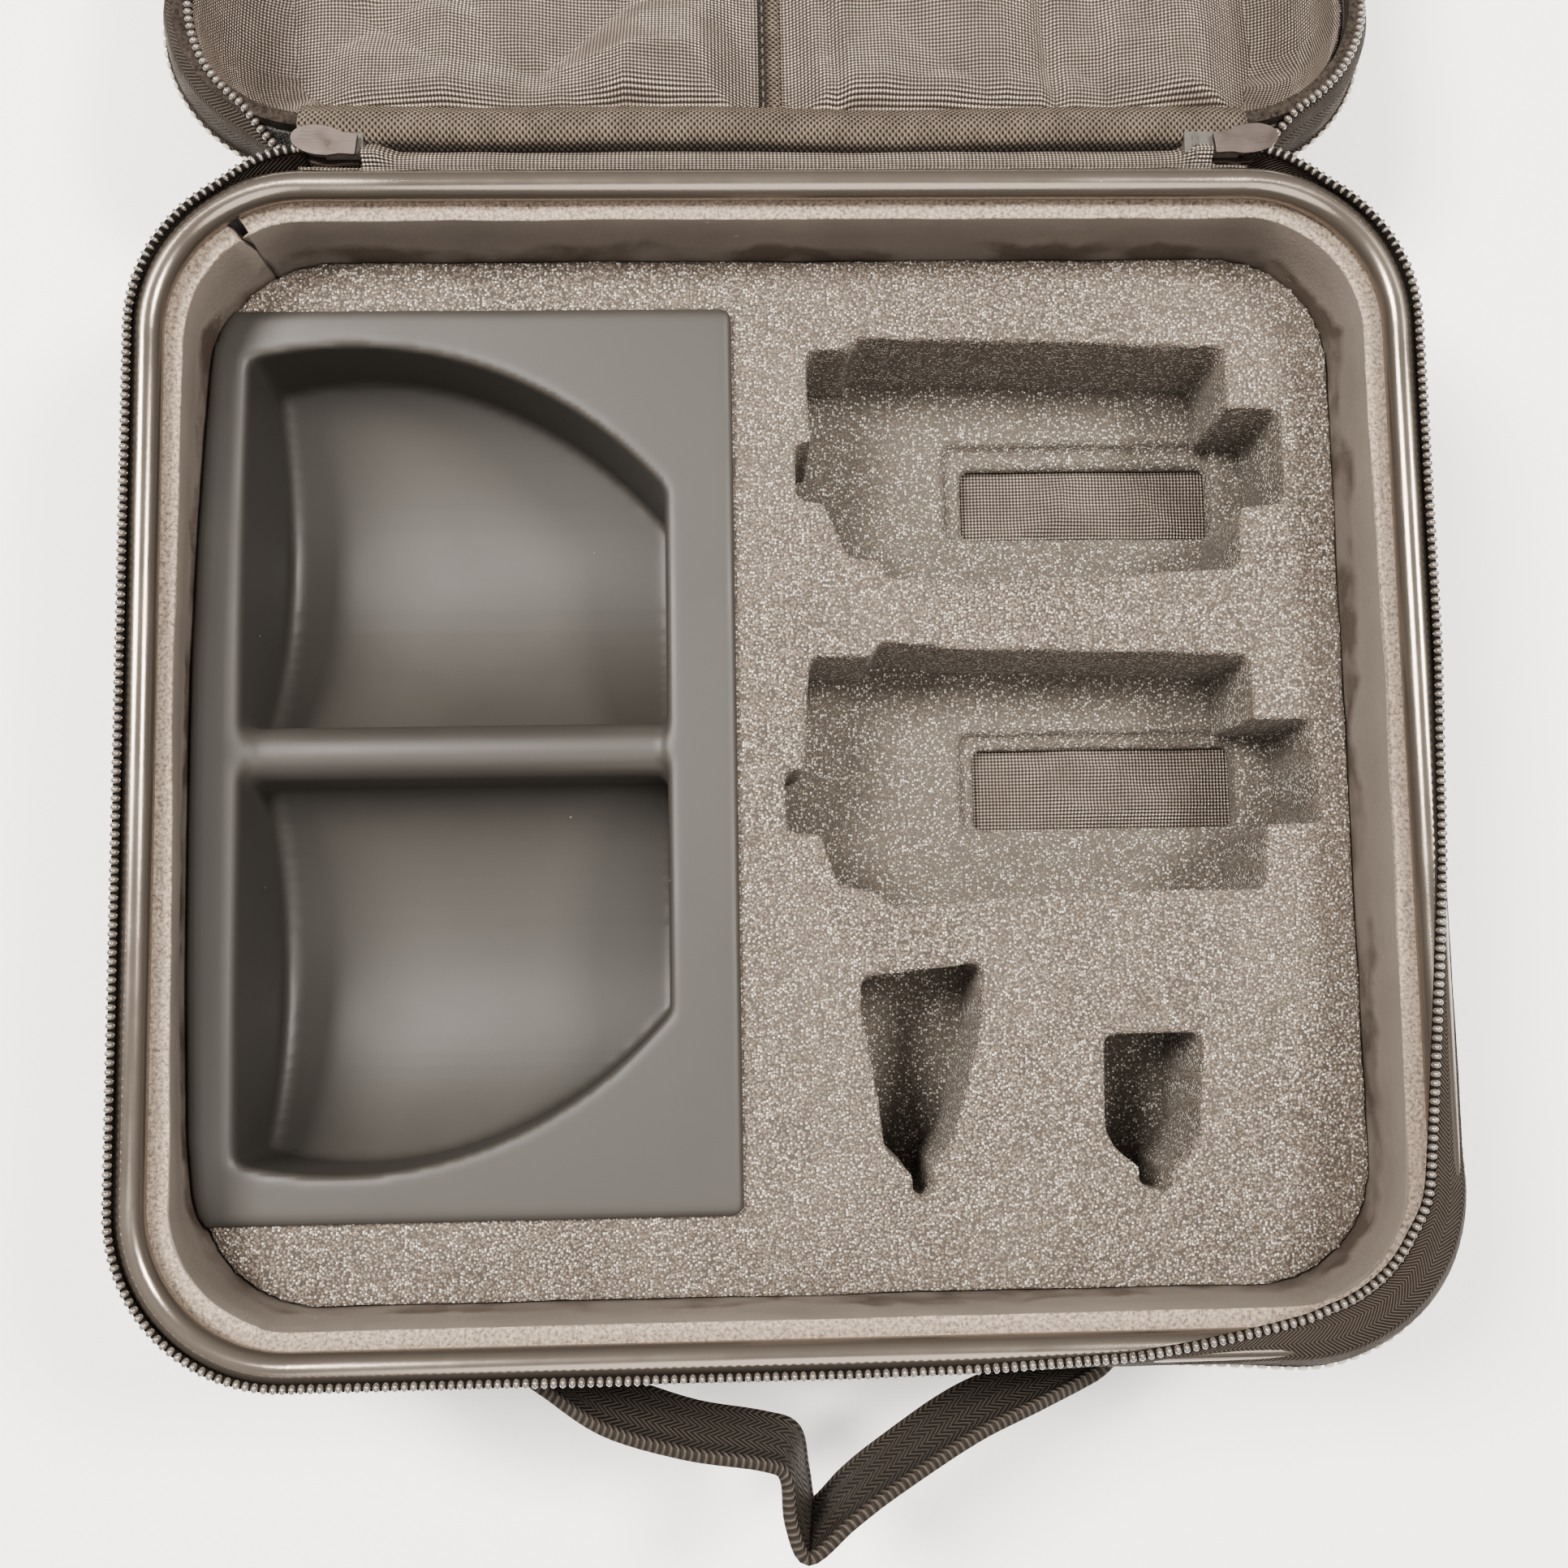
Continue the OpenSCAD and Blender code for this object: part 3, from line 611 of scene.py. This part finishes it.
def repeat_tree():
    """Geometry Nodes tree: one rounded bead at each point, turned to the point's own directions."""
    tree = bpy.data.node_groups.new("beads in a row", "GeometryNodeTree")
    tree.interface.new_socket("Points", in_out="INPUT", socket_type="NodeSocketGeometry")
    for label, value in (("Length", 0.0008), ("Width", 0.0016), ("Height", 0.002)):
        tree.interface.new_socket(label, in_out="INPUT", socket_type="NodeSocketFloat").default_value = value
    tree.interface.new_socket("Finish", in_out="INPUT", socket_type="NodeSocketMaterial")
    tree.interface.new_socket("Beads", in_out="OUTPUT", socket_type="NodeSocketGeometry")
    add, link = tree.nodes.new, tree.links.new
    given, made = add("NodeGroupInput"), add("NodeGroupOutput")
    bead = add("GeometryNodeMeshUVSphere")
    bead.inputs["Segments"].default_value = 8
    bead.inputs["Rings"].default_value = 6
    bead.inputs["Radius"].default_value = 1.0
    sizes = add("ShaderNodeCombineXYZ")
    shaped = add("GeometryNodeTransform")
    for k, label in enumerate(("Length", "Width", "Height")):
        link(given.outputs[label], sizes.inputs[k])
    link(bead.outputs["Mesh"], shaped.inputs["Geometry"])
    link(sizes.outputs[0], shaped.inputs["Scale"])
    turned = None
    for axis, label in (("X", "along"), ("Z", "up")):
        direction = add("GeometryNodeInputNamedAttribute")
        direction.data_type = "FLOAT_VECTOR"
        direction.inputs["Name"].default_value = label
        align = add("FunctionNodeAlignRotationToVector")
        align.axis = axis
        if turned is not None:
            align.pivot_axis = "X"
            link(turned, align.inputs["Rotation"])
        link(direction.outputs["Attribute"], align.inputs["Vector"])
        turned = align.outputs[0]
    placed = add("GeometryNodeInstanceOnPoints")
    link(given.outputs["Points"], placed.inputs["Points"])
    link(shaped.outputs[0], placed.inputs["Instance"])
    link(turned, placed.inputs["Rotation"])
    real = add("GeometryNodeRealizeInstances")
    smooth = add("GeometryNodeSetShadeSmooth")
    coat = add("GeometryNodeSetMaterial")
    link(placed.outputs[0], real.inputs[0])
    link(real.outputs[0], smooth.inputs[0])
    link(smooth.outputs[0], coat.inputs["Geometry"])
    link(given.outputs["Finish"], coat.inputs["Material"])
    link(coat.outputs[0], made.inputs[0])
    return tree


bead_tree = repeat_tree()


def bead_row(name, spots, alongs, ups, size, finish):
    """A plain mesh of beads at the spots, in millimetres. size is half of length, width and height."""
    mesh = bpy.data.meshes.new(name)
    mesh.from_pydata((np.array(spots) * MM).tolist(), [], [])
    for label, values in (("along", alongs), ("up", ups)):
        attribute = mesh.attributes.new(label, "FLOAT_VECTOR", "POINT")
        attribute.data.foreach_set("vector", np.array(values, dtype=np.float32).ravel())
    piece = bpy.data.objects.new(name, mesh)
    bpy.context.scene.collection.objects.link(piece)
    modifier = piece.modifiers.new("beads", "NODES")
    modifier.node_group = bead_tree
    values = dict(zip(("Length", "Width", "Height"), (value * MM for value in size)), Finish=finish.material)
    for socket in bead_tree.interface.items_tree:
        if socket.in_out == "INPUT" and socket.name in values:
            modifier[socket.identifier] = values[socket.name]
    settled(piece)
    for label in ("along", "up"):
        left_over = piece.data.attributes.get(label)
        if left_over:
            piece.data.attributes.remove(left_over)
    return piece


def spaced(line, pitch):
    """Points every pitch along a polyline, with the direction of the line at each."""
    line = np.array(line)
    run = np.concatenate([[0], np.cumsum(np.linalg.norm(np.diff(line, axis=0), axis=1))])
    marks = np.arange(pitch / 2, run[-1], pitch)
    spots = np.column_stack([np.interp(marks, run, line[:, k]) for k in range(3)])
    ahead = np.column_stack([np.interp(np.minimum(marks + pitch / 2, run[-1]), run, line[:, k]) for k in range(3)])
    behind = np.column_stack([np.interp(np.maximum(marks - pitch / 2, 0), run, line[:, k]) for k in range(3)])
    alongs = ahead - behind
    return spots, alongs / np.linalg.norm(alongs, axis=1)[:, None]


ZIP_PATH = rounded_path(PATH_X, PATH_Y, PATH_R, 2.5, open_half=113)

# How far each loose row leans in, by the run along it from the back right. The base's row leans
# at the front right corner, and the lid's row at the hinge corners, most of all at the left.
BASE_LEAN = [(-1, 0), (136, 0), (185, 2.0), (227.4, 6.5), (245.4, 8.4), (260.4, 10.3), (270.5, 12.1), (287, 12.5),
             (304, 11.6), (320, 7.65), (334.5, 4.65), (348.8, 2.35), (384, 0.45), (410, 0), (5000, 0)]
LID_LEAN = [(-1, 0), (3, 1.2), (12, 2.4), (55, 2.5), (120, 1.0), (200, 0), (660, 0), (730, 4.5), (786, 7.4),
            (800, 6.2), (815, 4.6), (830, 2.6), (840, 0.8), (5000, 0)]


def lean(row, leaning):
    return float(np.interp(row[4], *zip(*leaning)))


def to_slider(row):
    """0 along the row, rising to 1 where it runs off the corner to the slider."""
    return min(1.0, max(0.0, (row[1] - 129.5) / (134.25 - 129.5))) ** 1.5


def tape_line(row, leaning):
    """The tape's cut through its width, from its stitched edge up to the coil, as (outward, up)."""
    share = min(1.0, lean(row, leaning) / 12.3)
    ripple = 0.35 * wander(row[0], row[1], 0, 9, 4.4)
    upright = [(4.3, 63.7), (4.35 + ripple, 68.5), (4.3 + ripple, 73.5), (4.1, 76.2), (3.6, 78.4)]
    leant = [(6.6, 69.6), (5.4 + ripple, 74.2), (2.6, 78.2 + ripple * 0.5), (-2.8, 80.0 + ripple * 0.5),
             (-7.2, 80.9)]
    line = [((1 - share) * a + share * c, (1 - share) * b + share * d)
            for (a, b), (c, d) in zip(upright, leant)]
    end = to_slider(row)
    return [(a + end * 6.2 * (b - 63.7) / 15, b - end * 4.8 * (b - 63.7) / 15) for a, b in line]


def coil_spot(row, leaning):
    """The middle of the coil above the tape."""
    edge = tape_line(row, leaning)[-1]
    share = min(1.0, lean(row, leaning) / 12.3)
    return edge[0] - 0.2 - 1.2 * share, edge[1] + 1.15 - 0.6 * share


def strip_section(line, thickness):
    """A closed thin section round a line of (outward, up) points."""
    line = np.array(line)
    slope = np.gradient(line, axis=0)
    side = np.column_stack([slope[:, 1], -slope[:, 0]])
    side /= np.linalg.norm(side, axis=1)[:, None]
    half = side * thickness / 2
    return list(map(tuple, line + half)) + list(map(tuple, (line - half)[::-1]))


def round_section(middle, radius, count=10):
    turns = [2 * math.pi * k / count for k in range(count)]
    return [(middle[0] + radius * math.cos(t), middle[1] + radius * math.sin(t)) for t in turns]


def mirrored(point):
    """Carries a point of the base's row to the lid's row, across the plane where the two meet."""
    return opened((point[0], point[1], 2 * 81.5 - point[2]))


def on_path(row, spot):
    return row[0] + row[2] * spot[0], row[1] + row[3] * spot[0], spot[1]


for side, leaning, place in (("base", BASE_LEAN, None), ("lid", LID_LEAN, mirrored)):
    move = place or (lambda point: point)
    tape = sweep(f"{side}_tape", ZIP_PATH, lambda row: strip_section(tape_line(row, leaning), 0.7),
                 zip_tape, closed=False, place=place)
    piping = sweep(f"{side}_piping", ZIP_PATH,
                   lambda row: round_section((tape_line(row, leaning)[0][0], tape_line(row, leaning)[0][1] - 1.0), 1.1),
                   zip_tape, closed=False, place=place)
    spine = [on_path(row, coil_spot(row, leaning)) for row in ZIP_PATH]
    # The near-black tube under the turns is painted shade for the gaps between them.
    gap_shade_tube = sweep(f"{side}_coil_gap_shade", ZIP_PATH,
                 lambda row: round_section((coil_spot(row, leaning)[0], coil_spot(row, leaning)[1] - 0.75), 0.95, 8),
                 gap_shade_finish, closed=False, place=place)
    spots, alongs = spaced([move(point) for point in spine], 2.0)
    up = Vector(move((0, 0, 1))) - Vector(move((0, 0, 0)))
    ups = [tuple(up.normalized())] * len(spots)
    if side == "base":
        # Round the back corners the row is seen from its side, as thin turns of nylon
        side_on = (np.abs(spots[:, 0]) > 108) & (spots[:, 1] > 112)
        turns = bead_row("base_coil_ends", spots[side_on], alongs[side_on], [(0, 0, 1)] * int(side_on.sum()),
                         (0.60, 1.25, 0.80), zip_coil)
        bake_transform(turns)
        spots, alongs = spots[~side_on], alongs[~side_on]
        ups = ups[:len(spots)]
    chain = bead_row(f"{side}_coil", spots, alongs, ups, (0.86, 1.15, 1.10), zip_coil)
    hem = [on_path(row, (tape_line(row, leaning)[0][0] + 1.15, tape_line(row, leaning)[0][1] - 0.35))
           for row in ZIP_PATH]
    spots, alongs = spaced([move(point) for point in hem], 3.0)
    ups = [tuple(Vector((a[1], -a[0], 0)).normalized()) for a in alongs]
    stitches = bead_row(f"{side}_hem_stitches", spots, alongs, ups, (1.20, 0.50, 0.50), thread_white)
    for piece, node, slot in ((tape, "zip_tape", "zip_tape"), (piping, "zip_piping", "piping"),
                              (chain, "zip_coil", "zip_coil"), (gap_shade_tube, None, "zip_coil"), (stitches, None, "piping")):
        if node:
            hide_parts(f"{side}_{node}")
        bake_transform(piece)


# ---- Fabric hinge ----
# A strip of lining nylon sewn to the back wall of the base and to the lid, between the two ends of
# the zip. It arches over the gap, and a coarse ribbed tape binds the edge of the lid's lining.


def hinge_arch(share):
    """A point (y, z) of the strip, from the base's wall at 0 to the lid's wall at 1."""
    marks = [0, 0.2, 0.38, 0.5, 0.62, 0.8, 1]
    return (float(np.interp(share, marks, [137.2, 138.3, 140.0, 142.8, 146.6, 150.6, 152.2])),
            float(np.interp(share, marks, [66.0, 70.8, 72.8, 72.2, 68.6, 65.0, 60.5])))


def strip_points(name, finish, arch, thickness, rows=33, reach=113, step=1.0):
    xs = np.arange(-reach, reach + 0.1, step)
    points, uvs = [], []
    for j in range(rows):
        y, z = arch(j / (rows - 1))
        for x in xs:
            ripple = 0.45 * wander(x, y, z, 13, 9.1)
            hem = 104.5 if x > 0 else 98.6
            rise = 0.0
            if hem - 9 < abs(x) < hem:
                rise = 3.6 * min(1.0, (abs(x) - hem + 9) / 5) * math.exp(-(((y - 144.6) / 3.6) ** 4))
            elif abs(x) >= hem and y > 140.5:
                rise = min(0.0, 67.8 - z)
            points.append((x, y + 0.3 * wander(x, y, 0, 21), z + ripple + rise))
            uvs.append((x, j))
    wide = len(xs)
    faces = [(j * wide + i, j * wide + i + 1, (j + 1) * wide + i + 1, (j + 1) * wide + i)
             for j in range(rows - 1) for i in range(wide - 1)]
    piece = make_piece(name, points, faces, finish, uvs)
    solid = piece.modifiers.new("thickness", "SOLIDIFY")
    solid.thickness = thickness * MM
    return settled(piece)


hinge_cloth = strip_points("hinge_cloth", lining_cloth, hinge_arch, 0.6)
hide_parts("hinge_panel", "hinge_tape_base", "hinge_tape_lid")
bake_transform(hinge_cloth)

binding_tape = Finish("binding tape", (0.07, 0.06, 0.05), 0.7, Specular_IOR_Level=0.15)
u, v, _ = binding_tape.axes(binding_tape.place("UV"))
cords = binding_tape.sum("MULTIPLY", binding_tape.ribs(u, 0.00150), binding_tape.ribs(v, 0.0019))
cords = binding_tape.sum("ADD", cords, binding_tape.sum("MULTIPLY", binding_tape.ribs(u, 0.00075), 0.3))
rubbed = binding_tape.cloud(binding_tape.place(), 0.006, 4)
thread = binding_tape.sum("MULTIPLY", binding_tape.spread(cords, -0.9, 1.1),
                          binding_tape.spread(rubbed, 0.3, 0.7, 0.6, 1))
# Painted shade: the tape is painted darker along the lower part of its girth, its under side.
thread = binding_tape.sum("MULTIPLY", thread, binding_tape.spread(v, 0.0040, 0.0058, 0.18, 1.0))
binding_tape.colour(binding_tape.tint(thread, (0.003, 0.0023, 0.0018), (0.190, 0.148, 0.112)))
binding_tape.rough(binding_tape.spread(rubbed, 0.3, 0.7, 0.55, 0.75))
binding_tape.relief(cords, 0.0004)


def binding_section(row):
    """A rolled edge that wavers along the lid's lining, as (outward, up) about its middle."""
    wave = 1.0 * wander(row[0], 0, 0, 46, 1.3)
    return [(a + 0.8 * wave, b + 0.5 * wave) for a, b in
            [(-8.2, 68.2), (-8.0, 70.6), (-7.0, 73.0), (-5.0, 74.2), (-2.4, 74.2), (0.6, 72.6), (3.6, 69.4), (4.4, 66.6),
             (2.0, 66.8), (-2.5, 69.6), (-5.6, 69.8)]]


binding_path = [(x, 152.6, 0, 1, x + 113) for x in np.arange(-113, 113.1, 2.0)]
binding = sweep("hinge_binding", binding_path, binding_section, binding_tape, closed=False)
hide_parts("lid_hinge_binding")
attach(binding, "lid")

trim_felt = Finish("lid edge felt", (0.02, 0.018, 0.016), 0.9, Specular_IOR_Level=0.1)
fuzz = trim_felt.cloud(trim_felt.place(), 0.0011, 5, 0.75)
trim_felt.colour(trim_felt.tint(trim_felt.spread(fuzz, 0.35, 0.7),
                                (0.004, 0.003, 0.0025), (0.040, 0.031, 0.025)))
trim_felt.relief(fuzz, 0.0006)
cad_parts["lid_edge_trim"].data.materials[0] = trim_felt.material

hem_spots = [(100.0, y, hinge_arch(0.5)[1] + 3.3) for y in (140.6, 142.4, 144.2, 146.0)]
hem_bar = bead_row("hinge_hem_stitches", hem_spots, [(0, 1, 0)] * 4, [(0, 0, 1)] * 4,
                   (0.75, 0.28, 0.3), thread_dark)
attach(hem_bar, "fold")


# ---- Lid lining ----
# The same shiny nylon lines the lid. It hangs a little loose of the moulded wall, and two pocket
# panels lie across the bottom in soft creases, sewn together along a bound edge.


def facets(x, y, seed, size=30.0):
    """Height from -1 to 1 of cloth pulled into flat facets with sharp folds between them."""
    u = x / size + 0.45 * wander(x, y, 0, 60, seed)
    v = y / size * 1.25 + 0.45 * wander(x, y, 0, 60, seed + 3)
    i, j = math.floor(u), math.floor(v)
    a, b = u - i, v - j
    low, right, back, far = (noise.cell(Vector((i + p + 0.5, j + q + 0.5, seed)))
                             for p, q in ((0, 0), (1, 0), (0, 1), (1, 1)))
    if (i + j) % 2:
        if a + b <= 1:
            return low + a * (right - low) + b * (back - low)
        return far + (1 - a) * (back - far) + (1 - b) * (right - far)
    if a >= b:
        return low + a * (right - low) + b * (far - right)
    return low + b * (back - low) + a * (far - back)


def eased(share):
    share = min(1.0, max(0.0, share))
    return share * share * (3 - 2 * share)


def lining_wall(row):
    """The loose lining down the lid's wall and round its inner edge, drawn closed."""
    x, y = row[0], row[1]
    slack = 1.5 * facets(x, y, 5.0, 22) + 0.2 * wander(x, y, 0, 6)
    steep = [(-2.6, 87.6), (-3.2, 92), (-4.0, 98), (-5.2, 104), (-7.6, 109.5), (-11.5, 113.6), (-17, 116.4),
             (-24, 117.9), (-31, 118.7)]
    bowl = [(-2.6, 87.6), (-3.2, 91), (-4.6, 96.5), (-6.8, 102), (-9.8, 106.8), (-13.6, 110.8), (-18, 113.6),
            (-23, 116.2), (-31, 118.7)]
    share = max(0.0, row[3]) ** 2
    line = [(a[0] + share * (b[0] - a[0]) - give * slack, a[1] + share * (b[1] - a[1]) - 0.6 * give * slack)
            for a, b, give in zip(steep, bowl, (0, 0.5, 1, 1.5, 2, 2, 1.5, 0.8, 0))]
    return strip_section(line, 0.5)


lining = sweep("lid_lining_wall", rounded_path(PATH_X, PATH_Y, PATH_R, 2.2), lining_wall, lining_cloth,
               place=opened)
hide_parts("lid_lining")
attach(lining, "lid")


def panel_shape(side):
    """The pocket panel bellies up from its sewn edges, in facets, and drops steeply by the hinge."""
    def shape(x, y):
        middle = eased((abs(x) - 3) / 16)
        belly = min(eased((135 - abs(x)) / 30), eased((116 - y) / 12), eased((122 + y) / 14),
                    0.06 + 0.94 * middle)
        fold = facets(x, y, 2.0 if side < 0 else 6.0) + 0.35 * facets(x + 40, y, 9.0, 17)
        pleats = sum(3.2 * math.exp(-(((x - at - 0.12 * (y - 100)) / 2.6) ** 2))
                     for at in ((17, 75) if side > 0 else ()))
        return 118.6 - belly * (9.0 + 6.8 * fold - pleats + 0.15 * wander(x, y, 0, 7, 1))
    return shape


for side, name, span in ((-1, "left", (-134.5, -1.2)), (1, "right", (1.2, 134.5))):
    panel = grid_sheet(f"lid_pocket_{name}", span, (-122.5, 122.5), 1.5, panel_shape(side), lining_cloth, 0.45,
                       place=opened)
    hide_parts(f"lid_panel_{name}")
    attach(panel, "lid")

edge_path = [(0, y, 1, 0, y + 122) for y in np.arange(-122, 122.1, 2.0)]
panel_edge = sweep("panel_binding", edge_path,
                   lambda row: [(a, b + 0.3 * wander(0, row[1], 0, 20)) for a, b in
                                [(-2.8, 118.8), (-2.9, 116.9), (-2.2, 116.2), (2.2, 116.2), (2.9, 116.9), (2.8, 118.8)]],
                   binding_tape, closed=False, place=opened)
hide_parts("lid_panel_binding")
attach(panel_edge, "lid")
seam = [opened((-1.9, y, 116.1)) for y in np.arange(-121, 121.1, 1.0)]
spots, alongs = spaced(seam, 3.2)
normal = tuple((Vector(opened((0, 0, 0))) - Vector(opened((0, 0, 1)))).normalized())
panel_stitches = bead_row("panel_stitches", spots, alongs, [normal] * len(spots),
                          (1.15, 0.3, 0.22), thread_dark)
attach(panel_stitches, "lid")


# ---- Handle ----
# One length of dark ribbed webbing with piped edges, its ends doubled under and box-stitched to
# the front wall. It is soft, and has taken a sharp fold at its middle.

webbing = Finish("webbing", (0.03, 0.028, 0.026), 0.6, Specular_IOR_Level=0.2)
u, v, _ = webbing.axes(webbing.place("UV"))
chevron = webbing.ribs(webbing.sum("ADD", u, webbing.sum("PINGPONG", v, 0.0030)), 0.0016)
webbing.colour(webbing.tint(webbing.spread(chevron, -1, 1), (0.005, 0.0040, 0.0032), (0.040, 0.031, 0.024)))
webbing.rough(webbing.spread(chevron, -1, 1, 0.75, 0.5))
webbing.relief(chevron, 0.00028)

HANDLE_Z = 47.0
upper_edge = [(-60, -145, 6), (-45, -154, 11), (-26, -160, 11), (-8, -163, 11), (-3, -166, 11), (-2, -176, 11),
              (2, -184, 11), (12, -176.5, 11), (22, -169.5, 11), (41, -158, 11), (56, -151.5, 10), (70, -146, 6)]
lower_edge = [(-60, -143.5, -6), (-43, -148, -10), (-24, -154.5, -11), (-8, -157.5, -11), (0, -160.5, -11),
              (2, -170, -11), (4, -178, -11), (12, -171, -11), (20, -165, -11), (38, -153.5, -11),
              (54, -147, -9), (70, -144, -6)]
wall_y = -137.7
upper_edge = [(-90, wall_y, 11), (-69, wall_y, 11)] + upper_edge + [(79, wall_y, 11), (100, wall_y, 11)]
lower_edge = [(-90, wall_y, -11), (-69, wall_y, -11)] + lower_edge + [(79, wall_y, -11), (100, wall_y, -11)]


def curve_through(points, per_span):
    """A smooth line through the points."""
    points = [np.array(p, float) for p in points]
    ends = [2 * points[0] - points[1]] + points + [2 * points[-1] - points[-2]]
    line = []
    for a, b, c, d in zip(ends, ends[1:], ends[2:], ends[3:]):
        for k in range(per_span):
            t = k / per_span
            line.append(0.5 * ((2 * b) + (c - a) * t + (2 * a - 5 * b + 4 * c - d) * t * t
                               + (3 * b - a - 3 * c + d) * t ** 3))
    return np.array(line + [points[-1]])


top_line, low_line = curve_through(upper_edge, 6), curve_through(lower_edge, 6)
ribbing = [(-1.0, 0.0), (-0.99, 1.25), (-0.93, 1.65), (-0.86, 1.5), (-0.80, 1.1), (-0.4, 1.15), (0.0, 1.2),
           (0.4, 1.15), (0.80, 1.1), (0.86, 1.5), (0.93, 1.65), (0.99, 1.25), (1.0, 0.0)]
ribbing += [(a, -b) for a, b in ribbing[-2:0:-1]]
fold_at = 8 * 6
for name, first, last, start, end in (
    ("left", 0, fold_at, (-0.067, 0, 0), (-0.045, 0, 0)),
    ("right", fold_at, len(top_line) - 1, (0.077, 0, 0), (0.055, 0, 0)),
):
    points, uvs, run = [], [], 0.0
    for i in range(first, last + 1):
        middle = (top_line[i] + low_line[i]) / 2
        across = (top_line[i] - low_line[i]) / 2
        before, after = max(i - 1, 0), min(i + 1, len(top_line) - 1)
        along = (top_line[after] + low_line[after] - top_line[before] - low_line[before]) / 2
        along /= np.linalg.norm(along)
        face = np.cross(along, across)
        face /= np.linalg.norm(face)
        if i > first:
            run += np.linalg.norm(middle - (top_line[i - 1] + low_line[i - 1]) / 2)
        for k, (a, b) in enumerate(ribbing):
            spot = middle + across * a + face * b
            points.append((spot[0], min(spot[1], -136.15), spot[2] + HANDLE_Z))
            uvs.append((run, a * 11))
    count = last - first + 1
    size = len(ribbing)
    faces = [(i * size + k, (i + 1) * size + k, (i + 1) * size + (k + 1) % size, i * size + (k + 1) % size)
             for i in range(count - 1) for k in range(size)]
    faces += [tuple(range(size))[::-1], tuple(range((count - 1) * size, count * size))]
    strap = make_piece(f"handle_{name}", points, faces, webbing, uvs)
    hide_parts(f"handle_anchor_{name}", *(["handle_strap"] if name == "left" else []))
    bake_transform(strap)
    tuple(start)
    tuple(end)

box_spots, box_alongs = [], []
for left, right in ((-88.5, -70.5), (80, 98)):
    corners = [(left, -9), (right, -9), (right, 9), (left, 9), (left, -9), (right, 9)]
    for a, b in list(zip(corners, corners[1:])) + [((left, 9), (right, -9))]:
        line = [(a[0], -139.35, a[1] + HANDLE_Z), (b[0], -139.35, b[1] + HANDLE_Z)]
        spots, alongs = spaced(line, 2.6)
        box_spots.extend(spots)
        box_alongs.extend(alongs)
box_stitches = bead_row("handle_stitches", box_spots, box_alongs, [(0, -1, 0)] * len(box_spots),
                        (0.95, 0.3, 0.3), thread_dark)
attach(box_stitches, "base")


# ---- Sliders, pull tabs and zip ends ----
# Small die-cast sliders with a satin plated finish, each with a flat pull tab hanging outside the
# case. The joined end of the zip lies in its mouth.

slider_metal = Finish("plated metal", (0.12, 0.10, 0.095), 0.36, Metallic=0.85)
where = slider_metal.place()
drawn = slider_metal.put("Mapping", {"Vector": where, "Scale": (1, 9, 9)}).outputs[0]
brushed = slider_metal.cloud(drawn, 0.003, 5)
dull = slider_metal.cloud(where, 0.006, 4)
slider_metal.colour(slider_metal.tint(dull, (0.052, 0.041, 0.036), (0.068, 0.054, 0.048)))
slider_metal.rough(slider_metal.spread(dull, 0.3, 0.7, 0.26, 0.44))
slider_metal.relief(brushed, 0.00004, 0.5)


def bevelled(node, width):
    """A merged copy of a CAD node with its sharp edges eased."""
    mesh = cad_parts[node].data.copy()
    shape = bmesh.new()
    shape.from_mesh(mesh)
    bmesh.ops.remove_doubles(shape, verts=shape.verts, dist=1e-6)
    bmesh.ops.dissolve_limit(shape, angle_limit=math.radians(1), verts=shape.verts, edges=shape.edges)
    shape.to_mesh(mesh)
    shape.free()
    piece = bpy.data.objects.new(f"{node}_cast", mesh)
    bpy.context.scene.collection.objects.link(piece)
    edge = piece.modifiers.new("edge", "BEVEL")
    edge.width = width * MM
    edge.segments = 2
    edge.limit_method = "ANGLE"
    edge.angle_limit = math.radians(35)
    edge.harden_normals = False
    settled(piece)
    piece.data.materials.clear()
    piece.data.materials.append(slider_metal.material)
    return piece


for side in ("left", "right"):
    for node, body, width in ((f"slider_{side}", f"slider_{side}", 0.3), (f"pull_tab_{side}", f"pull_{side}", 0.2)):
        metal = bevelled(node, width)
        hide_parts(node)
        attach(metal, body)
    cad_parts[f"zip_end_{side}"].data.materials[0] = thread_dark.material
